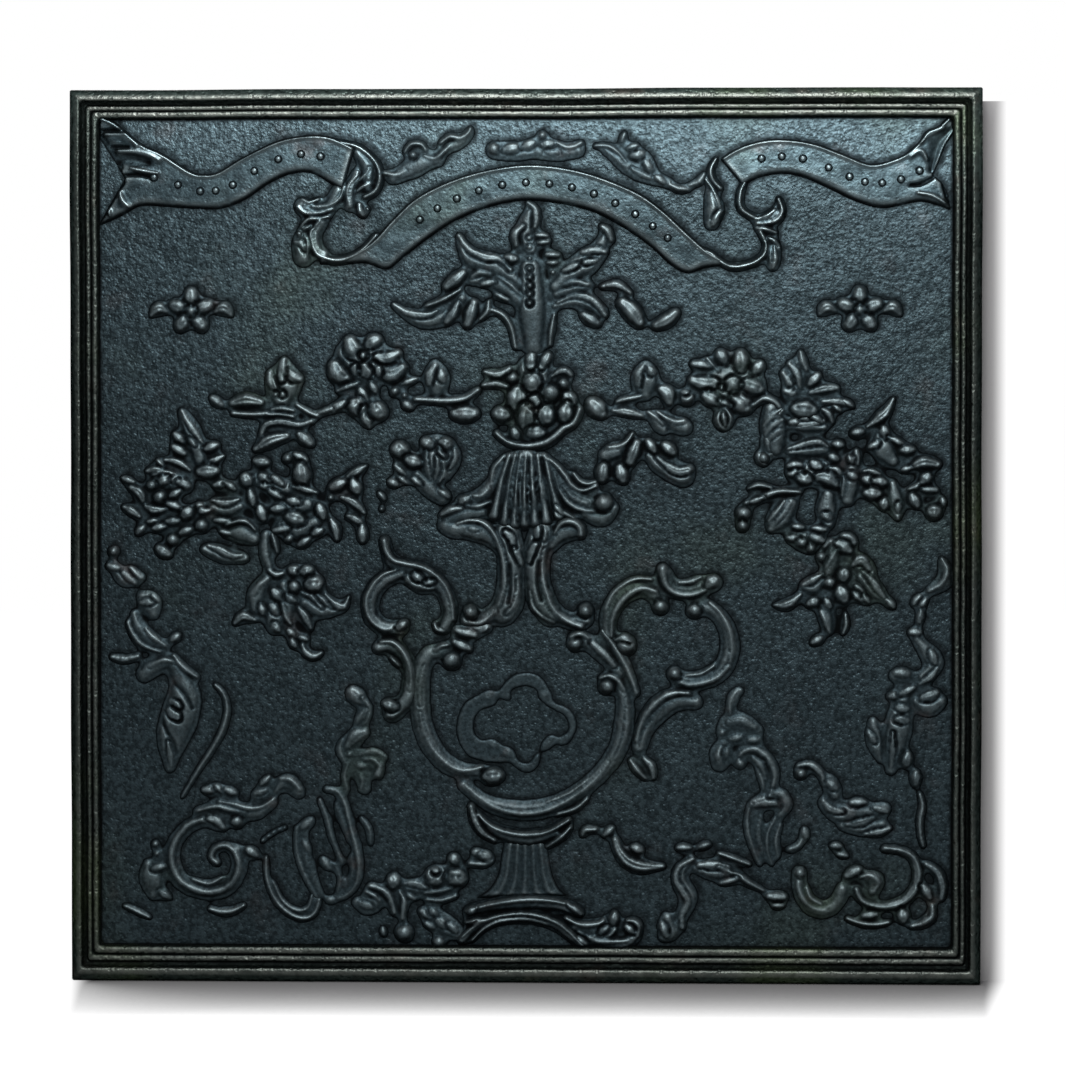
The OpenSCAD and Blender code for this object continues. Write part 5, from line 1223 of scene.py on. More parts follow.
# %% Neck and bowl
relief("neck_scroll_left", drawn("""
body 9 8.5: -12,300 -9,286 -9,270 -10,255 -15,248; 5 6.5 4: -47,304 -36,303 -26,300 -18,293
4.5 5.5 5: -14,262 -18,250 -28,243 -38,243
twig 1.2 2 1.4: -45,307.5 -37,309.5 -29,308.5 -24,305 -20,300 -17,293 -14.5,284 -13.5,272
 -14.5,262 -17.5,253
1 1.7 1.2: -37,304 -31,303.5; petal 2.8: -12.5,301.5 -8.5,298 -7,292; 2.4: -7,290 -4,286 -1.5,280
cut 1 1.3: -10,280 -9.5,266 -10.5,254; twig 0.9 1.4: -4.5,272 -4,262 -7,252 -12,247
berry 5.4: -36,248; twig 1.2 2 1.4: -37,241.5 -31,240.5 -25,243.5 -20,248.5
"""))
relief("neck_scroll_right", drawn("""
body 9 8 8: 12,300 8,286 8.5,270 11,256 18,247; 4 6 5: 18,293 25,301 36,303
4.5 5: 14,262 20,249 31,242 41,243; twig 1.4 2.4 2.2: 20,301 25,307.5 32,308.5 37,305 38,300
petal 2.8: 9,305 8.5,298; twig 1 1.7: 14,304 13.5,296; petal 2.6: 8,294 5,290 3,282
twig 1 1.8 2: 14,290 12.5,280 13,270 15,261 18,253 23,246.5 30,241.5 38,238.5
cut 1 1.3: 9.5,282 9,268 11.5,256; twig 0.9 1.3: 3.5,262 5.5,252 12,245 20,241; berry 5.2: 41,249
"""))
relief("bowl_scrolls", drawn("""
# left shoulder leaves
body 3 5 4: -46,236 -38,234 -26,238; petal 3.4: -45,235.5 -33,232.5; twig 1 1.8 1.2: -28,235 -24,238
petal 3.8: -47,228 -37,223.5
# left scroll and its ends
body 5 5.8 6: -53,220 -63,220 -69,210 -70.5,192 -69,175 -64.5,161
6 5.6 4: -64.5,161 -56,149.5 -45,142.5 -32,141; berry 6.6: -49,216
twig 1 1.8 1.2: -60,222 -56,225 -51,226; 0.9 1.5 1: -67,212 -70,200 -70,186
1 2 1.5: -70,180 -67.5,168 -62,157 -54,148 -45,142.5 -37,142 -29,144
petal 4 6 4.6: -25,138 -18,138.5
# right scroll from its curl round the bottom
body 4 6 5: 62,202 67,190 67,176 65,163 59,150 49,138
5 6 3.5: 49,138 36,127 20,118.5 3,115 -14,116.5 -28,122 -41,132; berry 5.6: 55.5,198.5
twig 1.2 2: 51,204 57,205.5 63,202 67,196; 0.9 1.4: 68.5,190 69,177 67,163 61,150
1 2 1.2: -39,131 -30,123.5 -20,117 -8,113.5 4,113 17,116 30,122.5 41,130 50,138.5 56,147
0.9 1.4: 22,112.5 34,116.5 42,123; 0.8 1.2: 15,121 30,127 42,136
# right shoulder
body 4 5.5: 33,228 43,228 54,219 64,207; berry 5: 34,227; twig 1.2 2: 31,231.5 37,233.5 43,231
petal 3.4: 46,227 54,220 60,213; body 2 3.6: 53,234 61,223 69,209 75,194
twig 0.9 1.4: 52,236 60,225.5 68,212 74,198
"""))
relief("bowl_dish", drawn("""
body 3 5: -33,112 -18,101 4,96 22,100; twig 1.4 2.2: -31,112 -21,104 -9,100 4,99 17,101.5 30,109
leaf 2.2 3.2 1.8: -36,118 -33,108 -28,100.5 -20,95; twig 1.2 2: 31,104 24,97 15,91
"""))
relief("cartouche", drawn("""
body 2 2.8: -11,199 0,203 12,199; twig 0.8 1.1: -13,196.5 -8,202.5 0,205.3 8,203.8 13,199
body 3.4 4.6 4: -23,189 -35,185 -40,171 -36,158 -25,153 -14,152.5; petal 3.4: -28,190 -22,192.5
twig 0.9 1.4: -38,167 -33.5,161.5 -27,158; petal 3: -24,160 -18,157.5; 3.8: -14,154.5 -9,151.5
2.2: -15,194.5 -11,191; twig 0.9 1.3: -6,147 0,143.5 6,145.5 9,152; petal 3.4: 12,195 15.5,190.5
twig 0.8 1.3: 16,187.5 22,184 28,181.5 32,175.5 32,169 29.5,164; petal 2.6: 13,157.5 19,163.5
2.2: 24.5,161 29.5,164.5
"""), share=0.6)

# %% Foot
FLUTES = 6

def pedestal(name, left, right, height):
    """A low waisted solid between two edges, with upright flutes."""
    left, right = smooth_line(left)[0], smooth_line(right)[0]
    outline = np.vstack([left, right[::-1]])
    (x0, z0), (x1, z1) = outline.min(0), outline.max(0)
    field = HeightMap(x0, x1, z0, z1)
    depth = depth_inside(field, outline)
    from_x, to_x = (np.interp(field.z, edge[::-1, 1], edge[::-1, 0]) for edge in (left, right))
    share = (field.x - from_x) / np.maximum(to_x - from_x, 1)
    waist = height * eased(depth / 2.2) * (0.8 + 0.2 * np.cos(share * 2 * np.pi * FLUTES))
    field.h = np.where(depth > 0, np.maximum(waist, 0.2), 0.2 + depth * 1.4)
    field.soften()
    standing.append(field)
    add_piece(name + "_cast", shell(name, field), ornament_iron, "ornament", name)

pedestal("stem", places("-14,95 -16,84 -18,72 -24,62 -33,56"),
         places("15,95 17,84 19,72 24,62 31,57.5"), height=2.5)
relief("foot_arch", drawn("""
body 3 5: -38,47 -20,51 0,53 20,52 37,47; twig 1.6 2.2: -37,48 -27,51 -12,54 3,55.5 18,54.8 29,52.5
petal 2.4 3.4: -37,47 -34,49; 3: 31,51 35,48.5 38,46
body 3 4: -42,28 -34,36 -22,41.5 -5,43.5 10,42.5 22,38 31,31 37,26
twig 1.2 2.2 1.6: -39,40 -33,41 -27,41.5
1.2 2 1.3: -42,30 -34,37 -23,42.5 -9,45.5 4,45.5 15,43 25,38 34,30 39,25
1 1.5: -35,28 -28,35 -19,40 -9,42 4,42 15,39
"""))
relief("foot_scroll", drawn("""
body 3 5.5 5: 34,37 45,34.5 55,35 59,41; 3 4.6 4: 44,28 56,26 68,26.5 75,33
twig 1.3 2.2 1.4: 28,43 35,39.5 42,38.5 50,39.5 53,41.5
1 1.8 1.4: 36,34 42,31 49,30.5 57,31.5 61,36; petal 3.6: 60.5,46 60,40; 2.6: 51,33.5 55.5,37
3.4: 68.5,37.5 73,34; twig 1.2 2.2 1.4: 41,30.5 50,27.5 60,27.5 69,28
1.2 2: 69,41.5 74,41 77,37 76,31; petal 3: 36,29.5 41,26
"""))

# %% [markdown]
# ## Handles
# Each handle is an open knot of C-scrolls with a ball at every end. They are not alike: the right
# one is larger and its outer scroll turns back on itself.

# %% Handles
relief("handle_left", drawn("""
body 3 5 4.5: -93,293 -90,281 -78,277 -64,272 -54,262 -50,248 -54,238
4 5.2 5: -82,274 -94,269 -102.5,259 -103,246 -95,238 -84,237; 5 7 4.5: -77,271 -69,268 -61,266
4 4.6 5.5: -98,224 -89,224.5 -80,217 -76.5,204 -79,190 -89,180
twig 2.4 2 1.3: -94,296 -92.5,289 -88,283 -80,280.5 -70,278.5 -61,274 -53,265.5 -48.5,254 -47.5,243
1.2 2 1.5: -86,276 -94,273.5 -101,267 -105.5,258 -105.5,248 -101,240.5 -94,236.5 -87,237.5
petal 3.4: -74,273 -69,270; 2.4: -66,267.5 -61,268.5; twig 1 1.7: -60.5,240.5 -58.5,236.5 -54.5,235
petal 3.4: -84,237.5 -80,241; twig 1.4 2.2: -96,228 -89,228 -83,223.5 -78.5,216 -76,206 -76.5,196
petal 4.4: -93,186.5 -87,184.5; twig 1 1.6: -89.5,217.5 -84,212
"""))
relief("handle_right", drawn("""
body 4.5 6: 56,234 57,248 66,260 78,264 88,259; berry 6.8: 68,226; 5.2: 91,252
twig 1.2 2: 61,229.5 67,231.5 72,229; 1.4 2.6 1.8: 58.5,232 59,244 64,254 72,261.5 80,264 88,262
0.9 1.3: 54,250 59,260 67,267 76,270.5 85,270
# leaf on the top
body 4 5.5 5: 95,274 99,265 109,262 119,265 127,268
twig 2.8 2 1.6: 92.5,277 94,268 100,261.5 109,259.5 118,261.5 124,265.5; petal 4.4: 123,267 128,270
leaf 1.2 2.2: 103,268 111,268.5 118,271.5
# outer C
body 4 5.5 5: 118,252 128,248 136,236 137.5,222 131,208 118,202 104,203; berry 5.2: 114,249.5
twig 1.2 2: 124,254.5 131,248 136.5,238 139,226 138,215
1.4 2.2: 137,212 129,204.5 120,201 110,199.5 104,201.5; berry 4.8: 100.5,207
twig 0.9 1.3: 108,206 118,207 127,212.5
# root on the bowl
body 4 6 4.5: 115,188 102,188 91,182 82,172 77,158
twig 1.6 2.6 1.4: 110,194 101,194 92,190.5 84,183 78,173 75,162; 0.9 1.4: 85,174.5 80,165 78,156
leaf 1.5 3: 80,150 85,145 86.5,137; twig 1.2 2: 71,149 76,142 81,137
"""))

# %% [markdown]
# ## Flowering branches
# A branch of leaves and open flowers runs out from the fruit on either side, and a small spray
# hangs below each.

# %% Branches
relief("branch_left", drawn("""
# twig from the urn
twig 1.5 2.2: -31,397 -40,391 -51,389.5 -62,390 -73,390.5; petal 6: -46,381 -34,381
body 5 8.5 4: -59,396 -59,404 -60,413; petal 3.2: -64,401 -63.5,407 -60,413; 3.2: -56,409 -54,403
leaf 1 2.4 1.2: -83,400.5 -78,402.5 -72,404.5; berry 3.4: -87,396; 2.4: -80.5,393
petal 1.8 3.4 2.8: -80,388 -77,385.5
# flower seen from above
body 8 15 9: -119,421 -106,416 -91,414; 7 9: -113,388 -100,382; petal 4 5: -104,428 -99,430.5
5 6.5 4.5: -117,429 -115,424 -111,420.5; 4.3: -98,418.5 -91,419 -85,421.5
6.5: -127,413 -125,408 -120,405; 5.8: -96,409 -89,407 -82,411.5; berry 2.8: -107.5,420
petal 2 3.3 2.4: -113.5,412 -114,407.5; 4.4: -107.5,412 -105.5,407; 2.6: -101,414 -98,410.5 -98,406
# calyx and buds
leaf 1 2.4 2: -126,396 -119,399 -112,401; petal 2 3.2 2.4: -103,401 -100,396
2.4 4 3: -110,397 -107,391; 5 6.5 4: -114,388 -112,384
leaf 2.5 4.6 1.2: -107,384 -106,378 -104,371.5; petal 4.5 6.2: -100,385 -97,381
# twig to the left
1.8 3.2 2.4: -129,384 -124,386.5 -121,389; 1.2 2 1.6: -138,381.5 -130,384
twig 1 1.5 1.2: -153,387 -145,382 -139,379.5; 1.3 1.8 1.2: -196,381.3 -182,380.5 -168,381 -155,379
body 7 11.5 6: -163,391 -162,401 -161,411; petal 3: -171,408 -170.5,402 -167.5,398
3.8: -158,409 -155,406 -151,404; 3.2: -163,404 -162.5,411 -161.5,417; berry 2: -167,394
2.3: -162.5,393.5; petal 2.1: -170,384 -163,384.5 -155,383; leaf 3 5.2: -196,388 -187,390 -177,388.5
petal 3.2: -210,391.5 -204,387
# drooping leaves
leaf 2 3 1.8: -177,364 -174,373 -164,375.5 -152,373.5 -143,376; 2 5 3: -181,357 -171,363 -160,366
petal 4: -151,367 -144,361
"""))
relief("branch_right", drawn("""
# leaves from the urn
petal 6: 45,388 52,381; leaf 1.5 3.5: 59,383 69,382 79,379.5; twig 1.2 2: 62,389 70,391 78,392.5
body 5 9: 81,395 81,403 81,411; petal 3.2: 83,411 87,408; 3: 76,400 76,407 79,412
5.2: 92,397 96,394 97,389; berry 5.4: 109,391.5; petal 2: 105,395 110,396
body 2 4.5 4: 84,381 90,374 93,371; 2 5 5: 92,380 100,374 107,372
twig 1 1.6 1.3: 83,382 88,378.5 93,374; 1 2 1.7: 89,382 95,378 101,375.5 107,376
# open flower
body 8 14 9: 122,400 138,402 152,400; petal 4.6: 130.5,421 134,416; 4 5.6 4.5: 145,412 144.5,420
3.2: 113,414 118,413.5 124,412.5; twig 0.9 1.3: 122,418 129,410; petal 5.2: 113,403 120,401 127,401
3.5 5 4: 121,393 129,389; 4 7 5: 142,391 148,385; 4.2: 154,409 158,414; 5.8: 149,400 157,397
3: 132,389 137,386; berry 6: 139.5,400; 2: 132,398.5; petal 4 6 4.5: 134,381 133,374
1.8: 133,381 134.5,373
# leaves and the tulip bud
twig 1.3 2: 153,386.5 160,391 167.5,388.5 172,383; body 4.5 8: 168,374 166.5,364 164,355
leaf 1.2 2.4: 161,371 166,377 173,383; 1.2 3 1.6: 169,374 170,366 167,359
petal 2.4: 162,364 164,357; 2 3.5 2.5: 157,353 160,348; body 5 8 3: 179,394 181,405 184,417
petal 2.6: 173,408 176,403 178,398; 2.5: 177,414 182,408 184.5,399; 2.3: 184.5,422 186,416 188.5,410
2.6: 174,396 180,394.5; 4: 191,401 196,406; leaf 2 3.8: 191,395 200,397.5 209,398
1.5 3 1.2: 199,389 209,389 219,386.5; petal 7: 182,384 192,383
leaf 2 3: 180,374.5 190,373.5 200,376
"""))
relief("spray_left", drawn("""
body 6 11 5: -59,361 -60,348 -62,335; 4 6: -72,340 -64,332 -55,324; 3.5 6 4: -50,360 -49,351 -54,340
petal 6: -85,358 -82,355; 5: -78,350 -71,348; 4.4: -67,362.5 -63,360; 4.8: -55,361.5 -51,360
leaf 1 2 1.2: -58,359 -56,355 -53,352; 1.2 2.2: -47,357 -46,351 -50,344
twig 1 1.6: -66,356 -66,346 -63,337; 1 1.6: -58.5,352 -58,345 -60,337
1 1.5: -54,349 -53.5,342 -57,335; 1.4 2.4: -57,329.5 -51,325; leaf 1.2 2.6 1.4: -87,346.5 -80,340
petal 3.2: -90,335.5 -86,333.5; leaf 1 2.2 1.2: -85,339 -79,334.5; petal 2.4: -75,337.5 -70,333.5
2: -97.5,328 -94,323.5; berry 1.9: -96,317
"""))
relief("spray_right", drawn("""
body 3 6 5: 67,359 61,356 55,353; twig 1 1.7 1.3: 72.5,368 69,362.5 64,359.5 56,358.5
petal 2 4.8 4: 75,361 73,355 70.5,349; 4 5 3.6: 53,345.5 52,337.5; 4 5 3.6: 64,344.5 66,337
body 3 6.5 7.5: 83,353 93,346 106,340; petal 3.8: 83,362 87,356; 4.2: 94,359.5 99.5,355
leaf 1.5 3.4 3.6: 89,352 97,345.5 103,342.5 110,343.5
"""))

# %% [markdown]
# ## Bunches of leaves and berries
# Two thick bunches fill the sides. They are the busiest places on the plate: short petals, berries
# and leaf tips packed close, with a pendant hanging from each.

# %% Left bunch
relief("bunch_left", drawn("""
# toothed leaf at the top and the leaves round it
body 3 6 5: -230,382 -223,367 -218,350; leaf 1 2.4 1.2: -231,384 -226,375 -221,368 -216,361
petal 2: -226,364 -222,360; 3.6: -235,367 -230,362.5; 3.6: -236,359 -229,354.5
3.6: -214,357.5 -207,360; leaf 1.6 3 1.4: -214,348 -208,350 -202.5,352.5
petal 4 5.4 2.6: -218,342 -208,342.5; twig 1 1.6: -247,350 -243,345.5
leaf 1.4 3 1.6: -242,350 -233,348.5 -225,343; 1.8 3 1.4: -254,342.5 -248,343.5 -241,342
twig 1.2 2: -250,340 -240,341 -230,338
# blossom and berries on the left
body 5 6: -247,335 -238,336 -228,333; petal 4: -245,335.5 -240,337; berry 3.4: -235,336.5
petal 3.6: -232,335 -226,332.5; berry 4.2: -251,333; leaf 1.4 2.8: -271,338 -263,335
2 4: -265,331.5 -259,328 -256,321; 2 3.6 1.6: -255,319 -249,316.5 -241,317
1.6 3.4: -270,318.5 -264,315.5 -259,312; berry 5.4: -245,325; petal 3.2: -238,326 -232,329
3.2: -240,321 -232,318; 4.4: -229,312.5 -225,316; 3: -219.5,320 -216,317; 2.6: -218,315 -212,316
2.6: -253,308.5 -247,309; 3.2: -249,304 -242,305.5; 3.2: -240,309 -233,309; 3: -260,301 -256.5,305
3.6: -231,301 -224.5,303.5; berry 5: -217,306; 4.6: -236.5,296.5; petal 4.2: -246,290.5 -239.5,286.5
# leaves reaching to the right
3.4: -208,333 -202,334.5; 2.8: -200,334 -195,330.5; body 3 5.4: -210,318 -200,317 -191,319
leaf 1.4 3: -210,323 -201,321 -192,323.5; petal 2.6: -208,309.5 -199,309; 2.4: -204,302 -198,300.5
body 3 5: -215,290 -202,286 -188,284; leaf 1.4 3 1.6: -213,292.5 -205,290 -197,286 -190,286
body 3 6 4: -198,301 -190,301 -182,297; twig 1 1.7: -200,306.5 -192,309 -186,308 -181,303
# the middle blossom
body 5 6: -180,337 -170,334 -160,331; 5 6: -165,318 -155,318 -146,320
5 7: -163,305 -152,303 -141,308; petal 3.6 4.8 3.4: -188,338.5 -185.5,334; 4: -180.5,349 -173,348
berry 3.8: -159,351; petal 3: -154,353.5 -147,350; 6.2: -150.5,345 -149,335.5
3.6: -177,339.5 -172,337; 3: -169,338.5 -163,334; 2.6: -177,332.5 -171,331; 3: -171,329 -163.5,325
leaf 1.2 2.6: -156,332 -147,330 -139,328; petal 3.4: -184.5,329 -182,320
2.4 4 3: -178,318 -175.5,311; 3.6: -169,317 -163,317.5; 3.4: -158.5,323 -152,322
5.4: -158,312 -150,309.5; 2.8: -168,302.5 -159,304; berry 3.4: -158,297
petal 3.4: -151,293 -145,297; 3.4: -141.5,300.5 -136.5,303; 4: -138,319 -135,311.5
leaf 1.6 3.4 2: -130,310 -127,304 -126,297
# leaves at the right tip
petal 4.4: -129,331.5 -121.5,335; leaf 1.4 3.4 1.3: -119,338.5 -113,342 -106.5,346
petal 4.6: -115,335 -112.5,329; berry 2.6: -130,324.5
leaf 1.6 3.4 1.4: -123,325 -115,321.5 -107.5,314.5; 1.6 3.2 1.4: -119,312.5 -113,310 -108.5,306
petal 3.6: -109,304 -108.5,296
"""), crowded=True)
relief("pendant_left", drawn("""
body 3 4: -174,300 -174,287 -171,277; twig 1 1.5: -169.5,300 -167.5,294 -166,288
body 4 6: -173,270 -180,260 -181,250; 5 7: -169,252 -168,244 -168,238
4 6: -162,266 -160,256 -159,245; 4 6.5 3: -148,254 -138,250.5 -124,250
twig 1.2 2: -172,276 -167,273 -162,274; 1.2 2: -182,260 -178,266 -172,270.5
petal 4: -168.5,262 -164,257; 3: -159.5,258.5 -154,255.5; berry 5: -154.5,265
petal 4.4: -156.5,276 -152.5,275.5; 4.4: -148.5,275 -144,276; 6.2: -144.5,266.5 -138.5,267
leaf 1.2 2.2: -150,261 -142,257.5 -136,251; 1.2 2.4: -139.5,259.5 -134,255 -128,251
1.2 3: -134,260 -127,253.5 -121.5,251.5 -118,258; twig 1.2 1.8: -163,253.5 -160.5,245 -157,240
leaf 1.6 3.4: -152,251 -147.5,245 -143.5,237; petal 3.4: -170,252 -166,248; 3.2: -177,252 -176,247
3.2: -168.5,239 -165,236; leaf 1.6 3.6: -195,240 -189,245 -181,242.5
petal 3.2: -158.5,235.5 -155,232; 2.8: -156.5,229 -154,225; 2.6: -151,231 -146,229.5
leaf 1.6 2.8 1.4: -149.5,226 -146.5,220.5 -141.5,218 -136.5,220.5
"""), crowded=True)

# %% Right bunch
relief("bunch_right", drawn("""
# large ribbed leaf and leaves along the top
body 5 9 6: 165,384 167,371 168,358; twig 1 1.6: 160,373 165,379 172,384
1 1.6: 161,367 166,373 173,377; 1 1.6: 162,362 167,367 173,370; berry 4.6: 160,351
body 3 5: 178,373 189,373 200,372; petal 3: 178,375 184,376; 3: 186,378 191,378
3: 193,379 199,375.5; leaf 1.2 2.8 1.4: 199,384 203,381 206,375; petal 2.4: 213,389.5 219,386
2.4: 207,386 211,383; leaf 1.2 4 1.4: 229,372 236,377 242,382.5 246.5,391
petal 3.4: 220,368 226,369; body 4 8 5: 238,368 240,358 246,350; petal 3.6: 240,371.5 241.5,366
2.8: 231,358.5 236,361.5; leaf 1.2 2.8 1.4: 243.5,365 249,362.5 254,360
petal 3.6: 252.5,356.5 259.5,357; leaf 2 4.8 3: 258,345 267,348.5 276,347
petal 2.6: 253,343.5 257.5,344.5
# the left blossom
body 4 5.5: 178,356.5 190,357 201,357; leaf 1.4 3: 176,357.5 187,360.5 197,362 203,359
petal 3.2: 207.5,360.5 212,360; 3.6: 204.5,352.5 209,350.5; body 7 10: 184,342 196,342 207,340
petal 3.4: 177,346 184.5,347; 3.6: 192.5,348.5 197.5,345.5; 3.6: 205.5,344 211,341.5
3.2: 177.5,340.5 185,341.5; 4.2: 184,337.5 190.5,336.5; 5: 197.5,338.5 203,337.5 208.5,334
body 5 7 4: 203,326 202,317 203,308; petal 3.2: 200,313 204.5,311
# the middle leaf and berries
body 5 7: 219,343 217,333 216,324; petal 2.8: 222,356 222.5,347.5; 2.8: 217,352 219,348.5
twig 1 1.6: 214,341 213,333 212,326; petal 3: 217,340.5 222,338.5
leaf 1.4 2.8: 226.5,342.5 232,342 238,340.5; petal 4: 227,337.5 233,335.5; 4: 235,336 240.5,335
4.8: 229,328 236.5,327.5; 4: 240.5,323 240,318.5; body 3 6 2: 246,334 248,322 249.5,311
petal 2.6: 250,320.5 249.5,316
# leaves on the right
twig 1.2 2: 257,330.5 263,333 268.5,339; petal 4.4: 267,335.5 269.5,340; 3: 266.5,330.5 275,330
4.2: 259,326 262,320; 2.6: 279,324 280,320; 4 5.4: 272,315.5 275,315.5
# striped bud and stem on the left
twig 1.2 2.2 1.4: 148,321 159,325 170,329 184,328.5; 1 1.7: 150,331 157,333 165,331.5
body 3 8 5: 165,304 171,312 178,321; twig 1 1.6: 163,309 169,316 174,323
1 1.6: 166,306 173,314 179,323; petal 2.4: 152,321.5 159,324; berry 5.4: 146.5,314; 4: 146,306
# berries under the blossom
body 5 7: 181,298 189,296 196,299; petal 3: 176.5,298 183,297.5; berry 3.6: 185.5,294.5
3.6: 191.5,291; petal 3.6: 192.5,299 199,296; 2.6: 180,305.5 186,305; 2.6: 193,304.5 201,303.5
"""), crowded=True)
relief("pendant_right", drawn("""
body 4 6: 206,292 205,283 203,274; twig 1.2 2.2: 200.5,292 204.5,295.5 209,293 215,290
petal 4.2: 213.5,299 220,295; 4.2: 210,294.5 217,289.5; berry 3.6: 198.5,285
twig 1 1.7: 209,290 205,284 201,278; body 3 6 4: 220,281 227,279 231,274
leaf 1.6 4: 219,279.5 225,283.5 230.5,277; body 4 6 2: 225,272 233,264 242,256
leaf 1.4 3 1.2: 226,275 232,270 237,263 242,256; petal 2.8: 243,256 246.5,252
4.8: 213.5,275.5 213,270.5; berry 4.6: 204,268; body 3 5: 187,266 193,265 199,269
leaf 1.2 2.8: 186,266.5 192,269.5 199,273.5; petal 5.6: 211,263.5 213.5,257; 3: 221.5,266 226.5,261
2.8: 220,261 225,256.5; 2.4: 227,259 230,255; leaf 1.2 3.4 1.4: 167,253 176,253.5 185,260.5
petal 3.8: 190.5,254 195,256; 3.4: 201.5,256.5 204,252; body 3 5 2: 200,252 202,244 204,235
twig 1.2 2: 198,249 201,243 203.5,236; 1 1.4: 214.5,247 215,240 213,234; petal 3.2: 193,228 198,231
"""), crowded=True)

# %% [markdown]
# ## Scrolls at the sides and corners
# Rococo scrollwork climbs both sides from spirals in the lower corners. Each side is different,
# as it was when one carver drew it freehand.

# %% Side scrolls
relief("side_scroll_left", drawn("""
berry 3.6: -276.5,288.5; body 3 6: -276,277 -268,271 -258,271; petal 3: -280,279 -273,277
2.8: -270,274.5 -262,267.5; 2.2: -265,277.5 -258,270.5; body 4 7: -257,258 -252,254 -250,247
petal 2.6: -258,254 -250,254.5; 2: -250,259 -246,255
body 2 6 3: -263,247 -260,237 -252,229 -242,225; twig 1.1 1.8: -267,241 -263,232 -256,225 -245,221
1.1 2 1.3: -255,237 -250,231 -242,225.5; petal 3: -237,229 -233,232
# broad soft leaf that hangs from the turn
body 5 12 3: -236,211 -229,192 -237,162 -239,143; cut 1.2 1.6 1: -243,203 -235,199 -228,192 -223,183
1 1.6: -245,178 -241,168 -236,159 -234,150; leaf 1.6 2.6: -278,217.5 -270,216 -260,218
body 4 6 5: -240,214 -250,211 -256,206; twig 1.2 2.1 1.4: -235,214 -243,215.5 -252,211.5
1.1 1.9: -236,218.5 -229,210 -220,204; petal 2.6: -238,188 -232,184; 3.4: -239,182 -233,177
leaf 1.2 2.4 1: -240,160 -238.5,151 -237.5,143
twig 1 1.4 0.7: -208,199 -202,192 -200,182 -203,169 -210,156 -220,141 -231,123
"""), share=0.75)
relief("side_scroll_right", drawn("""
body 3 5: 280,281 281,270 271,263; twig 1.2 2.2: 278.5,284 282,277 279,268 270,262.5
petal 2.6: 260,254 264,259; 2.6: 264,251.5 268,257; 2 2.8: 265,249 264,242; 3: 258,235 264,235
body 3 6 4: 262,231 269,222 274,214 266,205; petal 3.2: 272,222 274,215
leaf 1.4 2.6: 276,211 271,205 264,200.5; body 4 5.4: 248,206 256,206; petal 3.6: 248.5,208 256,207.5
# hanging leaf
body 5 9 3: 253,194 251,178 247,158 245,143; 3 6 2: 233,175 235,163 238,150
cut 1 1.5: 240,176 240,160 242,145; petal 3: 244,192 250,193.5; 3.2: 252,194 260,198
3: 249,185 256,184; 2.8: 248.5,177 256,176; 2.6: 230,168 234,162
leaf 1 2.2: 246,168 246,155 245,144; body 4 8: 262,189 270,187 278,189; petal 4: 266,191.5 275,194.5
4.2: 256,153 255,147; 3.4: 262,141 261.5,134
scroll 1.3 2 1.2: 264.5,127 266.5,119 265,110 265,101 267,92
"""), share=0.75)

# %% Corner scrolls
relief("corner_scroll_left", drawn("""
# spiral
body 3 5 4.5: -206,104 -216,107 -227,103 -235,94 -238,82 -234,70 -226,63 -215,60 -204,61
 -196,67 -192,77 -194,87
twig 2 2.4 1.6: -209,107.5 -217,108 -227,104 -235,94 -238,82 -234,70 -226,63 -215,59.5 -204,61
 -196,67 -192.5,77 -195,86 -201,90.5 -208,89 -211,83 -207,79
petal 3.6: -212,109.5 -206.5,107 -203,103; twig 0.8 1.2: -224,68 -213,65 -204,69
# band above it
body 2 5 3: -221,114 -207,117 -192,114.5 -180,113 -170,120
twig 1 1.8: -220,114 -208,117 -197,114.5 -188,113
1 1.8 1.2: -206,120.5 -195,118.5 -186,116 -177,117 -169,122; body 3 5: -181,124 -173,127
petal 2.6: -181,126 -174,128.5; berry 4.6: -194,107; petal 3: -216,128 -209,128
2.6: -208,131 -203.5,127; 3: -201,128.5 -195,126; body 2 4.6 4: -168,127 -161,133 -152,127
twig 1.2 2.2 1.8: -164,136 -157,135 -151,128.5; petal 2.4: -177,132 -172,137
# leaves at the left
berry 2.6: -249,91.5; 2.2: -248,85; body 3 8 4: -254,78 -251,68 -250,58
petal 3.2: -250,75.5 -243,76.5; leaf 1.4 3: -246,60 -239,55
twig 1.2 1.8: -212,48 -204,46 -196,47 -189,50.5; 1 1.5: -270,50 -261,46 -253,42
petal 3.6: -186,88 -181,84.5; berry 1.3: -176.5,94; 1.3: -173,97; 1.3: -169.5,99.5
1.3: -165.5,101.5; 1.3: -161.5,103
twig 0.8 1.5: -174,83 -173.5,69 -168,55 -158,45 -148,42 -141,46 -138,55
0.6 0.9: -169,66 -163,54 -154,47.5 -146,49 -143,58
"""), share=0.8)
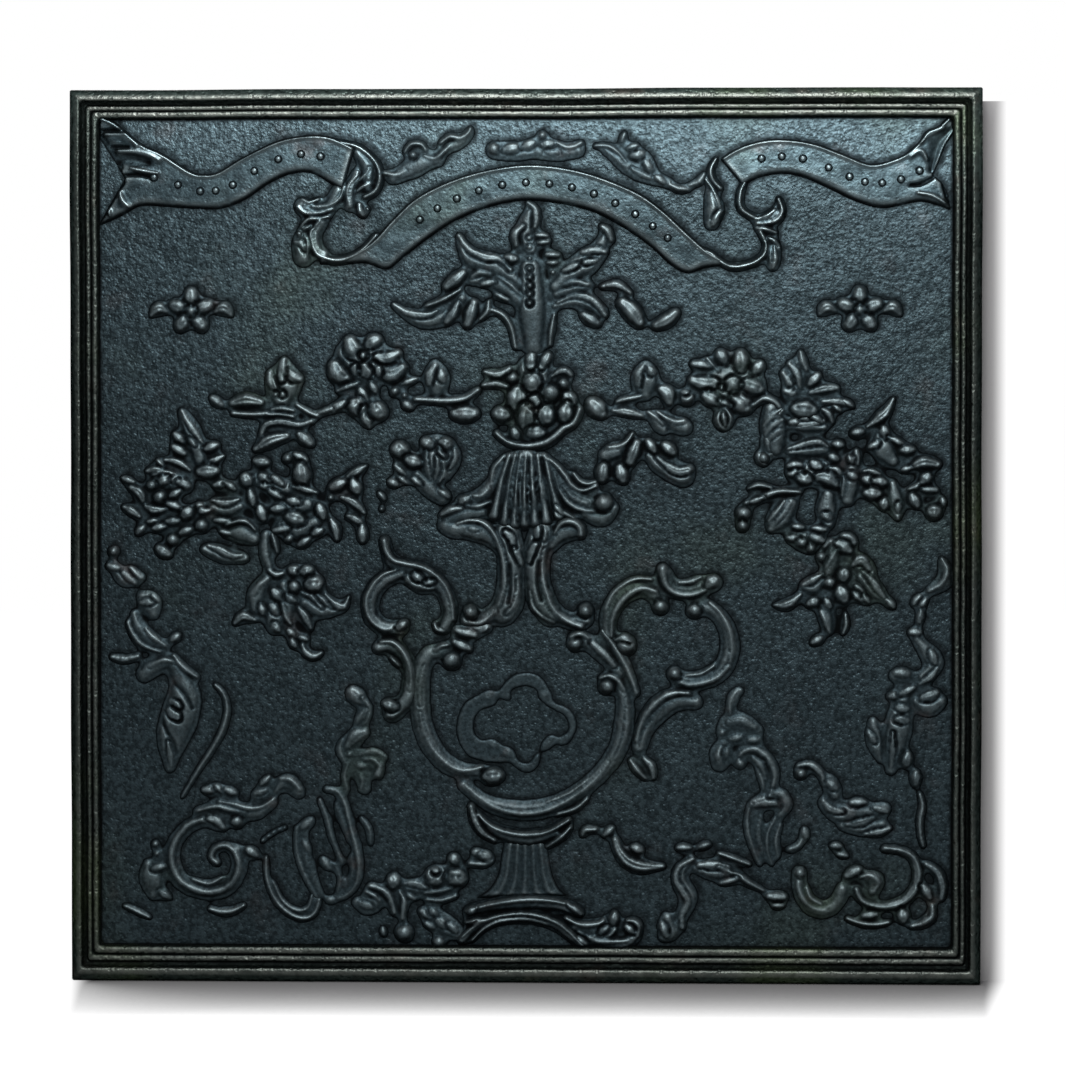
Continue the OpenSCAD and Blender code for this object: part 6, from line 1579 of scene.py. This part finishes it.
relief("corner_scroll_right", drawn("""
# cup of the lower scroll
body 4 5: 184,74 185,62 191,52 201,49 209,54 213,63
twig 1.4 2: 186,76 183.5,66 187,56 194,50 203,48.5; berry 4: 184.5,74
twig 0.9 1.4: 189,64 192,57 199,53; petal 3.6: 216,72 224,76.5
# large ring and its knob
body 3 5.4 4: 228,71 235,69 233,62; twig 1.2 2.2: 225,71 231,72.5 237,68 234,61.5
scroll 2.2 3.2: 222.5,63 226,56 234,52.5 244,52 254,55.5 261.5,64 263.5,75 260,84.5 252,89 241,90.5
# leaves under it
petal 3.2: 227.5,45.5 235.5,46.5; twig 1 1.5: 216,43.5 225,40.5 235,39.5 244,41
# outer ring
leaf 2 3.4: 269,80 276.5,74.5 279.5,65.5 279,57; petal 3.8: 267,65 271,58
twig 1.4 2.4: 273,52 272.5,45 266.5,40.5 259,38.5; petal 4.4: 253,48 253.5,42.5
# sprig above
berry 4.2: 185,140.5; leaf 1.4 2.8 1.6: 183,145.5 191,146.5 198,141 201,133
body 4 5.4: 204,136 208,126; petal 3.6: 203.5,134.5 208.5,131
body 4 7: 201,121 209,115 224,114 241,117; 3 5.4: 213,106 226,105 240,107
leaf 1.6 3.2: 200,122.5 205,117 213,115; petal 3: 219,121 228,121.5; leaf 1.4 3: 234,118 243,115
1.6 3.2: 216,106.5 225,108 234,111; 1.2 2.8: 228,100 237,101.5 245,104; petal 2 2.8: 206,92 211.5,92
2.2: 210.5,86.5 216,85.5
"""), share=0.8)

# %% Leaf groups
relief("leaf_group_left", drawn("""
# knobs climbing beside the bowl
petal 4.4 5.4 3: -115.5,194 -110,188.5; twig 1.1 1.9 1.2: -108,190 -105,184 -106.5,176 -110,171
petal 3: -107.5,182 -112,174; body 3 5: -120,150 -121,157 -117,164
petal 5: -108,167 -113,165 -118.5,158.5; twig 1 1.7: -122.5,162 -124,155 -120,146
body 2 4 3: -114,142 -109,136 -107,129; berry 2.8: -117.5,152.5
leaf 1.3 2.2 1.2: -113,151.5 -106,153.5 -99,153.5 -93,150.5
twig 1.2 2 2.4: -109,148.5 -102.5,149 -97.5,145 -98.5,139; petal 2.8: -113,145 -107,144.5
twig 0.9 1.4 0.8: -118,147 -121,138 -119,128; 0.8 1.3: -111.5,140 -109,134 -110.5,128
# tall leaves, most of them only a rim round sunk ground
body 2 4: -149,105 -149,88 -144,72 -138,59; twig 0.8 1.3: -153.5,103 -153,86 -147,69 -140,56
petal 3.2: -149.5,103 -143.5,108; 2.4: -149,94 -145.5,88; berry 1.5: -146,73.5
twig 1.2 1.9 0.8: -134,129 -125.5,127 -120.5,118 -117.5,104 -113,89 -111.5,75 -114.5,63
 -122,56.5 -130,55
0.8 1.2: -138,122 -132.5,108 -130,97 -122.5,79; leaf 1 2 0.8: -127,119 -122.5,108 -118,94
petal 2.6: -136,82 -131.5,76; twig 0.7 1: -127,77 -124,68 -126,60
0.7 1: -116.5,84 -115.5,73 -119,63; 0.8 1.3: -110,110 -104.5,102 -103.5,92
petal 2.4: -132.5,54.5 -128.5,54
"""), share=0.62)
relief("leaf_group_right", drawn("""
petal 2.8: 144.5,196 141,193 139.5,187; twig 1 1.7: 142.5,196.5 138.5,191 137.5,183 138.5,178
body 4 6.5 3.5: 133,168 137,174 147,174 156,169; petal 3.8: 137,175 145,176 154,171.5
berry 2.6: 132.5,167.5; petal 3: 150,163 157,163; 3.2: 138,163.5 145,165
body 4 6 5: 134,160 131,154 131,147; petal 4: 131,156 130.5,148; 2.4: 136,157 135,151
twig 1.4 2.6 1.6: 143,149 146,154.5 154,156.5 161,152.5 166,145 167.5,138 165.5,129
berry 3.4: 144.5,147; petal 3: 153,151 158.5,146 161.5,137; twig 0.9 1.4: 156,143 159,136 160.5,130
petal 5: 154,120 163,122 170,121; 3.6: 165,127 172.5,126 175.5,119 171.5,113
# hanging leaf, open towards its tip
body 2 4.4 1.5: 156,113 155.5,100 159,86
twig 1 1.5 0.7: 151.5,120 149.5,110 150.5,99 154.5,87 158,79
leaf 1.2 2.6 1: 158.5,112 157,99 161,84; twig 0.9 1.5 0.7: 168,110 163,100 163,89 166,79
0.9 1.5 0.7: 171.5,106 168.5,96 170,84; petal 3: 187.5,103 188.5,98
twig 1 1.6 1.4: 186,96 183,91.5 177.5,89.5
"""), share=0.62)

# %% Sprays along the bottom
relief("base_spray_left", drawn("""
body 3 6 4: -113,53 -105,51 -98,54; 4 6: -78,62 -66,64 -50,65; 5 7: -64,45 -54,38 -46,33
twig 1.5 2.4 1.6: -104,64 -97,62 -92,58.5 -89,52 -87.5,46; 1 1.7 1.2: -107,60 -101,57.5 -97,54
petal 2.4: -110,52 -103,49.5; 4 5 3.6: -88,65 -88,69; leaf 1.4 2.8: -81,65.5 -73,65.5 -66,62.5
petal 5.6 7.4: -61,70 -57,71; 2.4: -61,76 -58.5,74; 5.6 7 5.4: -48,70 -44,70; 4: -48,83.5 -46.5,80
twig 1.2 1.9: -67,59.5 -58,60.5 -49,62.5; 1 1.5: -66,55 -56,54.5 -46,57.5
1.2 1.8: -37,79.5 -29,79 -22,81; petal 3.2: -34,87 -30,86; 3.8: -28.5,84.5 -24,84
twig 1.2 2 1.4: -84,60 -81,55 -81.5,48 -82,42; petal 2.2: -79,58.5 -74,55.5; 3.4: -69,47 -64,43.5
2.8: -63,48 -59,45.5; 3.4: -58,41 -53,37.5; 3: -50,38 -46,34; 2.6: -66,39 -61,36; berry 6: -81,32.5
petal 2: -95.5,35.5 -94.5,31; berry 4.4: -57.5,26.5
"""))
relief("base_spray_right", drawn("""
twig 1.3 2 1.6: 39,98.5 41,102 48,102.5; petal 2.8: 54,99 59,103.5
leaf 3 5 1.8: 61,95.5 64,87.5 70,81 78,78 86,77.5 93,78; petal 3.4: 73,90.5 78,88.5
# S stem
body 2 5.5 3: 112,82 106,75 105,67 110,57 106,46 101,34
leaf 1.6 2.8 2: 113,83 104,77.5 101.5,69 106,61 109.5,54 106,46 106,37; body 4 6: 96,43 98,35 94,31
petal 3.4: 92.5,39 95,31.5
# leaf and long twig
body 3 6: 115,77 126,75 139,71; petal 3.2: 117,79 128,79 137,77.5
twig 1.2 2 1: 130,77 141,73 151,67 160,62; 1 1.5: 130,87 140,83.5 151,79.5
petal 2.6: 103,90.5 111,90.5; 2.4: 117.5,91 124,93; 2.6: 132,67 142,69.5; 3.6: 164,58 174,57.5
2.4: 167,52 173,52
"""))
print(len(standing), "height maps laid in")

# %% [markdown]
# ## The ground
# The plate itself is poured flat in open sand. Its face keeps the slight hollows of the pattern
# board and its back is rough and has a softer edge. It comes last because painted shade darkens it
# right round the ornament, and the height maps say where that is.

# %% Ground
BACK_ROUNDED = 1.3          # mm, how far the back's edge is drawn in
RIM_STEPS = (6, 13)         # mm from the edge, where the grid has its outermost lines
COARSER = 3                 # the back has one point for so many of the face's, each way

def around_ornament(xs, zs, reach=2.0):
    """How close each point of the face is to standing ornament, 1 beside it."""
    cover = np.zeros((len(xs), len(zs)))
    for field in standing:
        i, k = np.nonzero(field.h > 0.2)
        a = np.clip(np.searchsorted(xs, field.xs[i]), 0, len(xs) - 1)
        b = np.clip(np.searchsorted(zs, field.zs[k]), 0, len(zs) - 1)
        cover[a, b] = 1
    kernel = bell(3, 2.0, reach)
    for axis in (0, 1):
        cover = np.apply_along_axis(np.convolve, axis, cover, kernel, "same")
    return cover

def grid_lines(low, high, spans):
    inner = np.linspace(low + BORDER_W, high - BORDER_W, spans + 1)
    return np.array([low, *(low + d for d in RIM_STEPS), *inner,
                     *(high - d for d in RIM_STEPS[::-1]), high])

def cells(number):
    """The quads of a numbered grid of points."""
    return np.stack([number[:-1, :-1], number[1:, :-1], number[1:, 1:], number[:-1, 1:]],
                    -1).reshape(-1, 4)

def round_the_edge(number):
    return np.concatenate([number[:-1, 0], number[-1, :-1], number[:0:-1, -1], number[0, :0:-1]])

def ground_mesh():
    # the face, with slight hollows
    xs, zs = grid_lines(-HALF_W, HALF_W, 285), grid_lines(0, HEIGHT, 279)
    x, z = np.meshgrid(xs, zs, indexing="ij")
    open_ground = (np.abs(x) < HALF_W - 10) & (np.abs(z - HEIGHT / 2) < HEIGHT / 2 - 10)
    swell = 0.22 * lumps(x, z, 46, 21) + 0.14 * lumps(x, z, 13, 22) + 0.13 * lumps(x, z, 5.2, 23)
    face = np.stack([x, FACE_Y - np.where(open_ground, swell, 0), z], -1).reshape(-1, 3)
    # the back, coarser and rough
    xb, zb = x[::COARSER, ::COARSER].copy(), z[::COARSER, ::COARSER].copy()
    rough = 0.25 * (1 - lumps(xb, zb, 37, 31)) + 0.12 * (1 - lumps(xb, zb, 9, 32))
    rough[[0, -1], :] = rough[:, [0, -1]] = 0.05
    xb[[0, -1], :] += np.array([[BACK_ROUNDED], [-BACK_ROUNDED]])
    zb[:, [0, -1]] += np.array([[BACK_ROUNDED, -BACK_ROUNDED]])
    back = np.stack([xb, BACK_Y - rough, zb], -1).reshape(-1, 3)
    # the walls, down to a line just short of the back, and a bevel from there
    number = np.arange(x.size).reshape(x.shape)
    back_number = x.size + np.arange(xb.size).reshape(xb.shape)
    rim, back_rim = round_the_edge(number), round_the_edge(back_number)
    line = face[rim] * [1, 0, 1] + [0, BACK_Y - 1.4, 0]
    on_line = x.size + xb.size + np.arange(len(rim))
    after = np.roll(np.arange(len(rim)), -1)
    wall = np.stack([rim[after], rim, on_line, on_line[after]], 1)
    bevel = [[*on_line[np.arange(i + COARSER, i - 1, -1) % len(rim)], back_rim[i // COARSER],
              back_rim[(i // COARSER + 1) % len(back_rim)]] for i in range(0, len(rim), COARSER)]
    quads = np.vstack([cells(number), cells(back_number)[:, ::-1], wall])
    mesh = from_arrays("ground", np.vstack([face, back, line]), quads, bevel)
    # painted shade lies round the ornament and along the border
    near = 0.62 * eased((around_ornament(xs, zs) - 0.12) / 0.5)
    beside = np.minimum(HALF_W - np.abs(x), np.minimum(z - FOOT_EXTRA, HEIGHT - z)) - BORDER_W
    grime = np.zeros(len(mesh.vertices))
    grime[:x.size] = np.maximum(near, 0.85 * eased(1 - beside / 1.7)).ravel()
    mark(mesh, wear=np.zeros(len(grime)), grime=grime)
    mesh.set_sharp_from_angle(angle=math.radians(40))
    return mesh

ground = add_piece("ground_cast", ground_mesh(), ground_iron, "ground", "back_plate")
print("ground:", len(ground.data.vertices), "points,", len(ground.data.polygons), "faces")
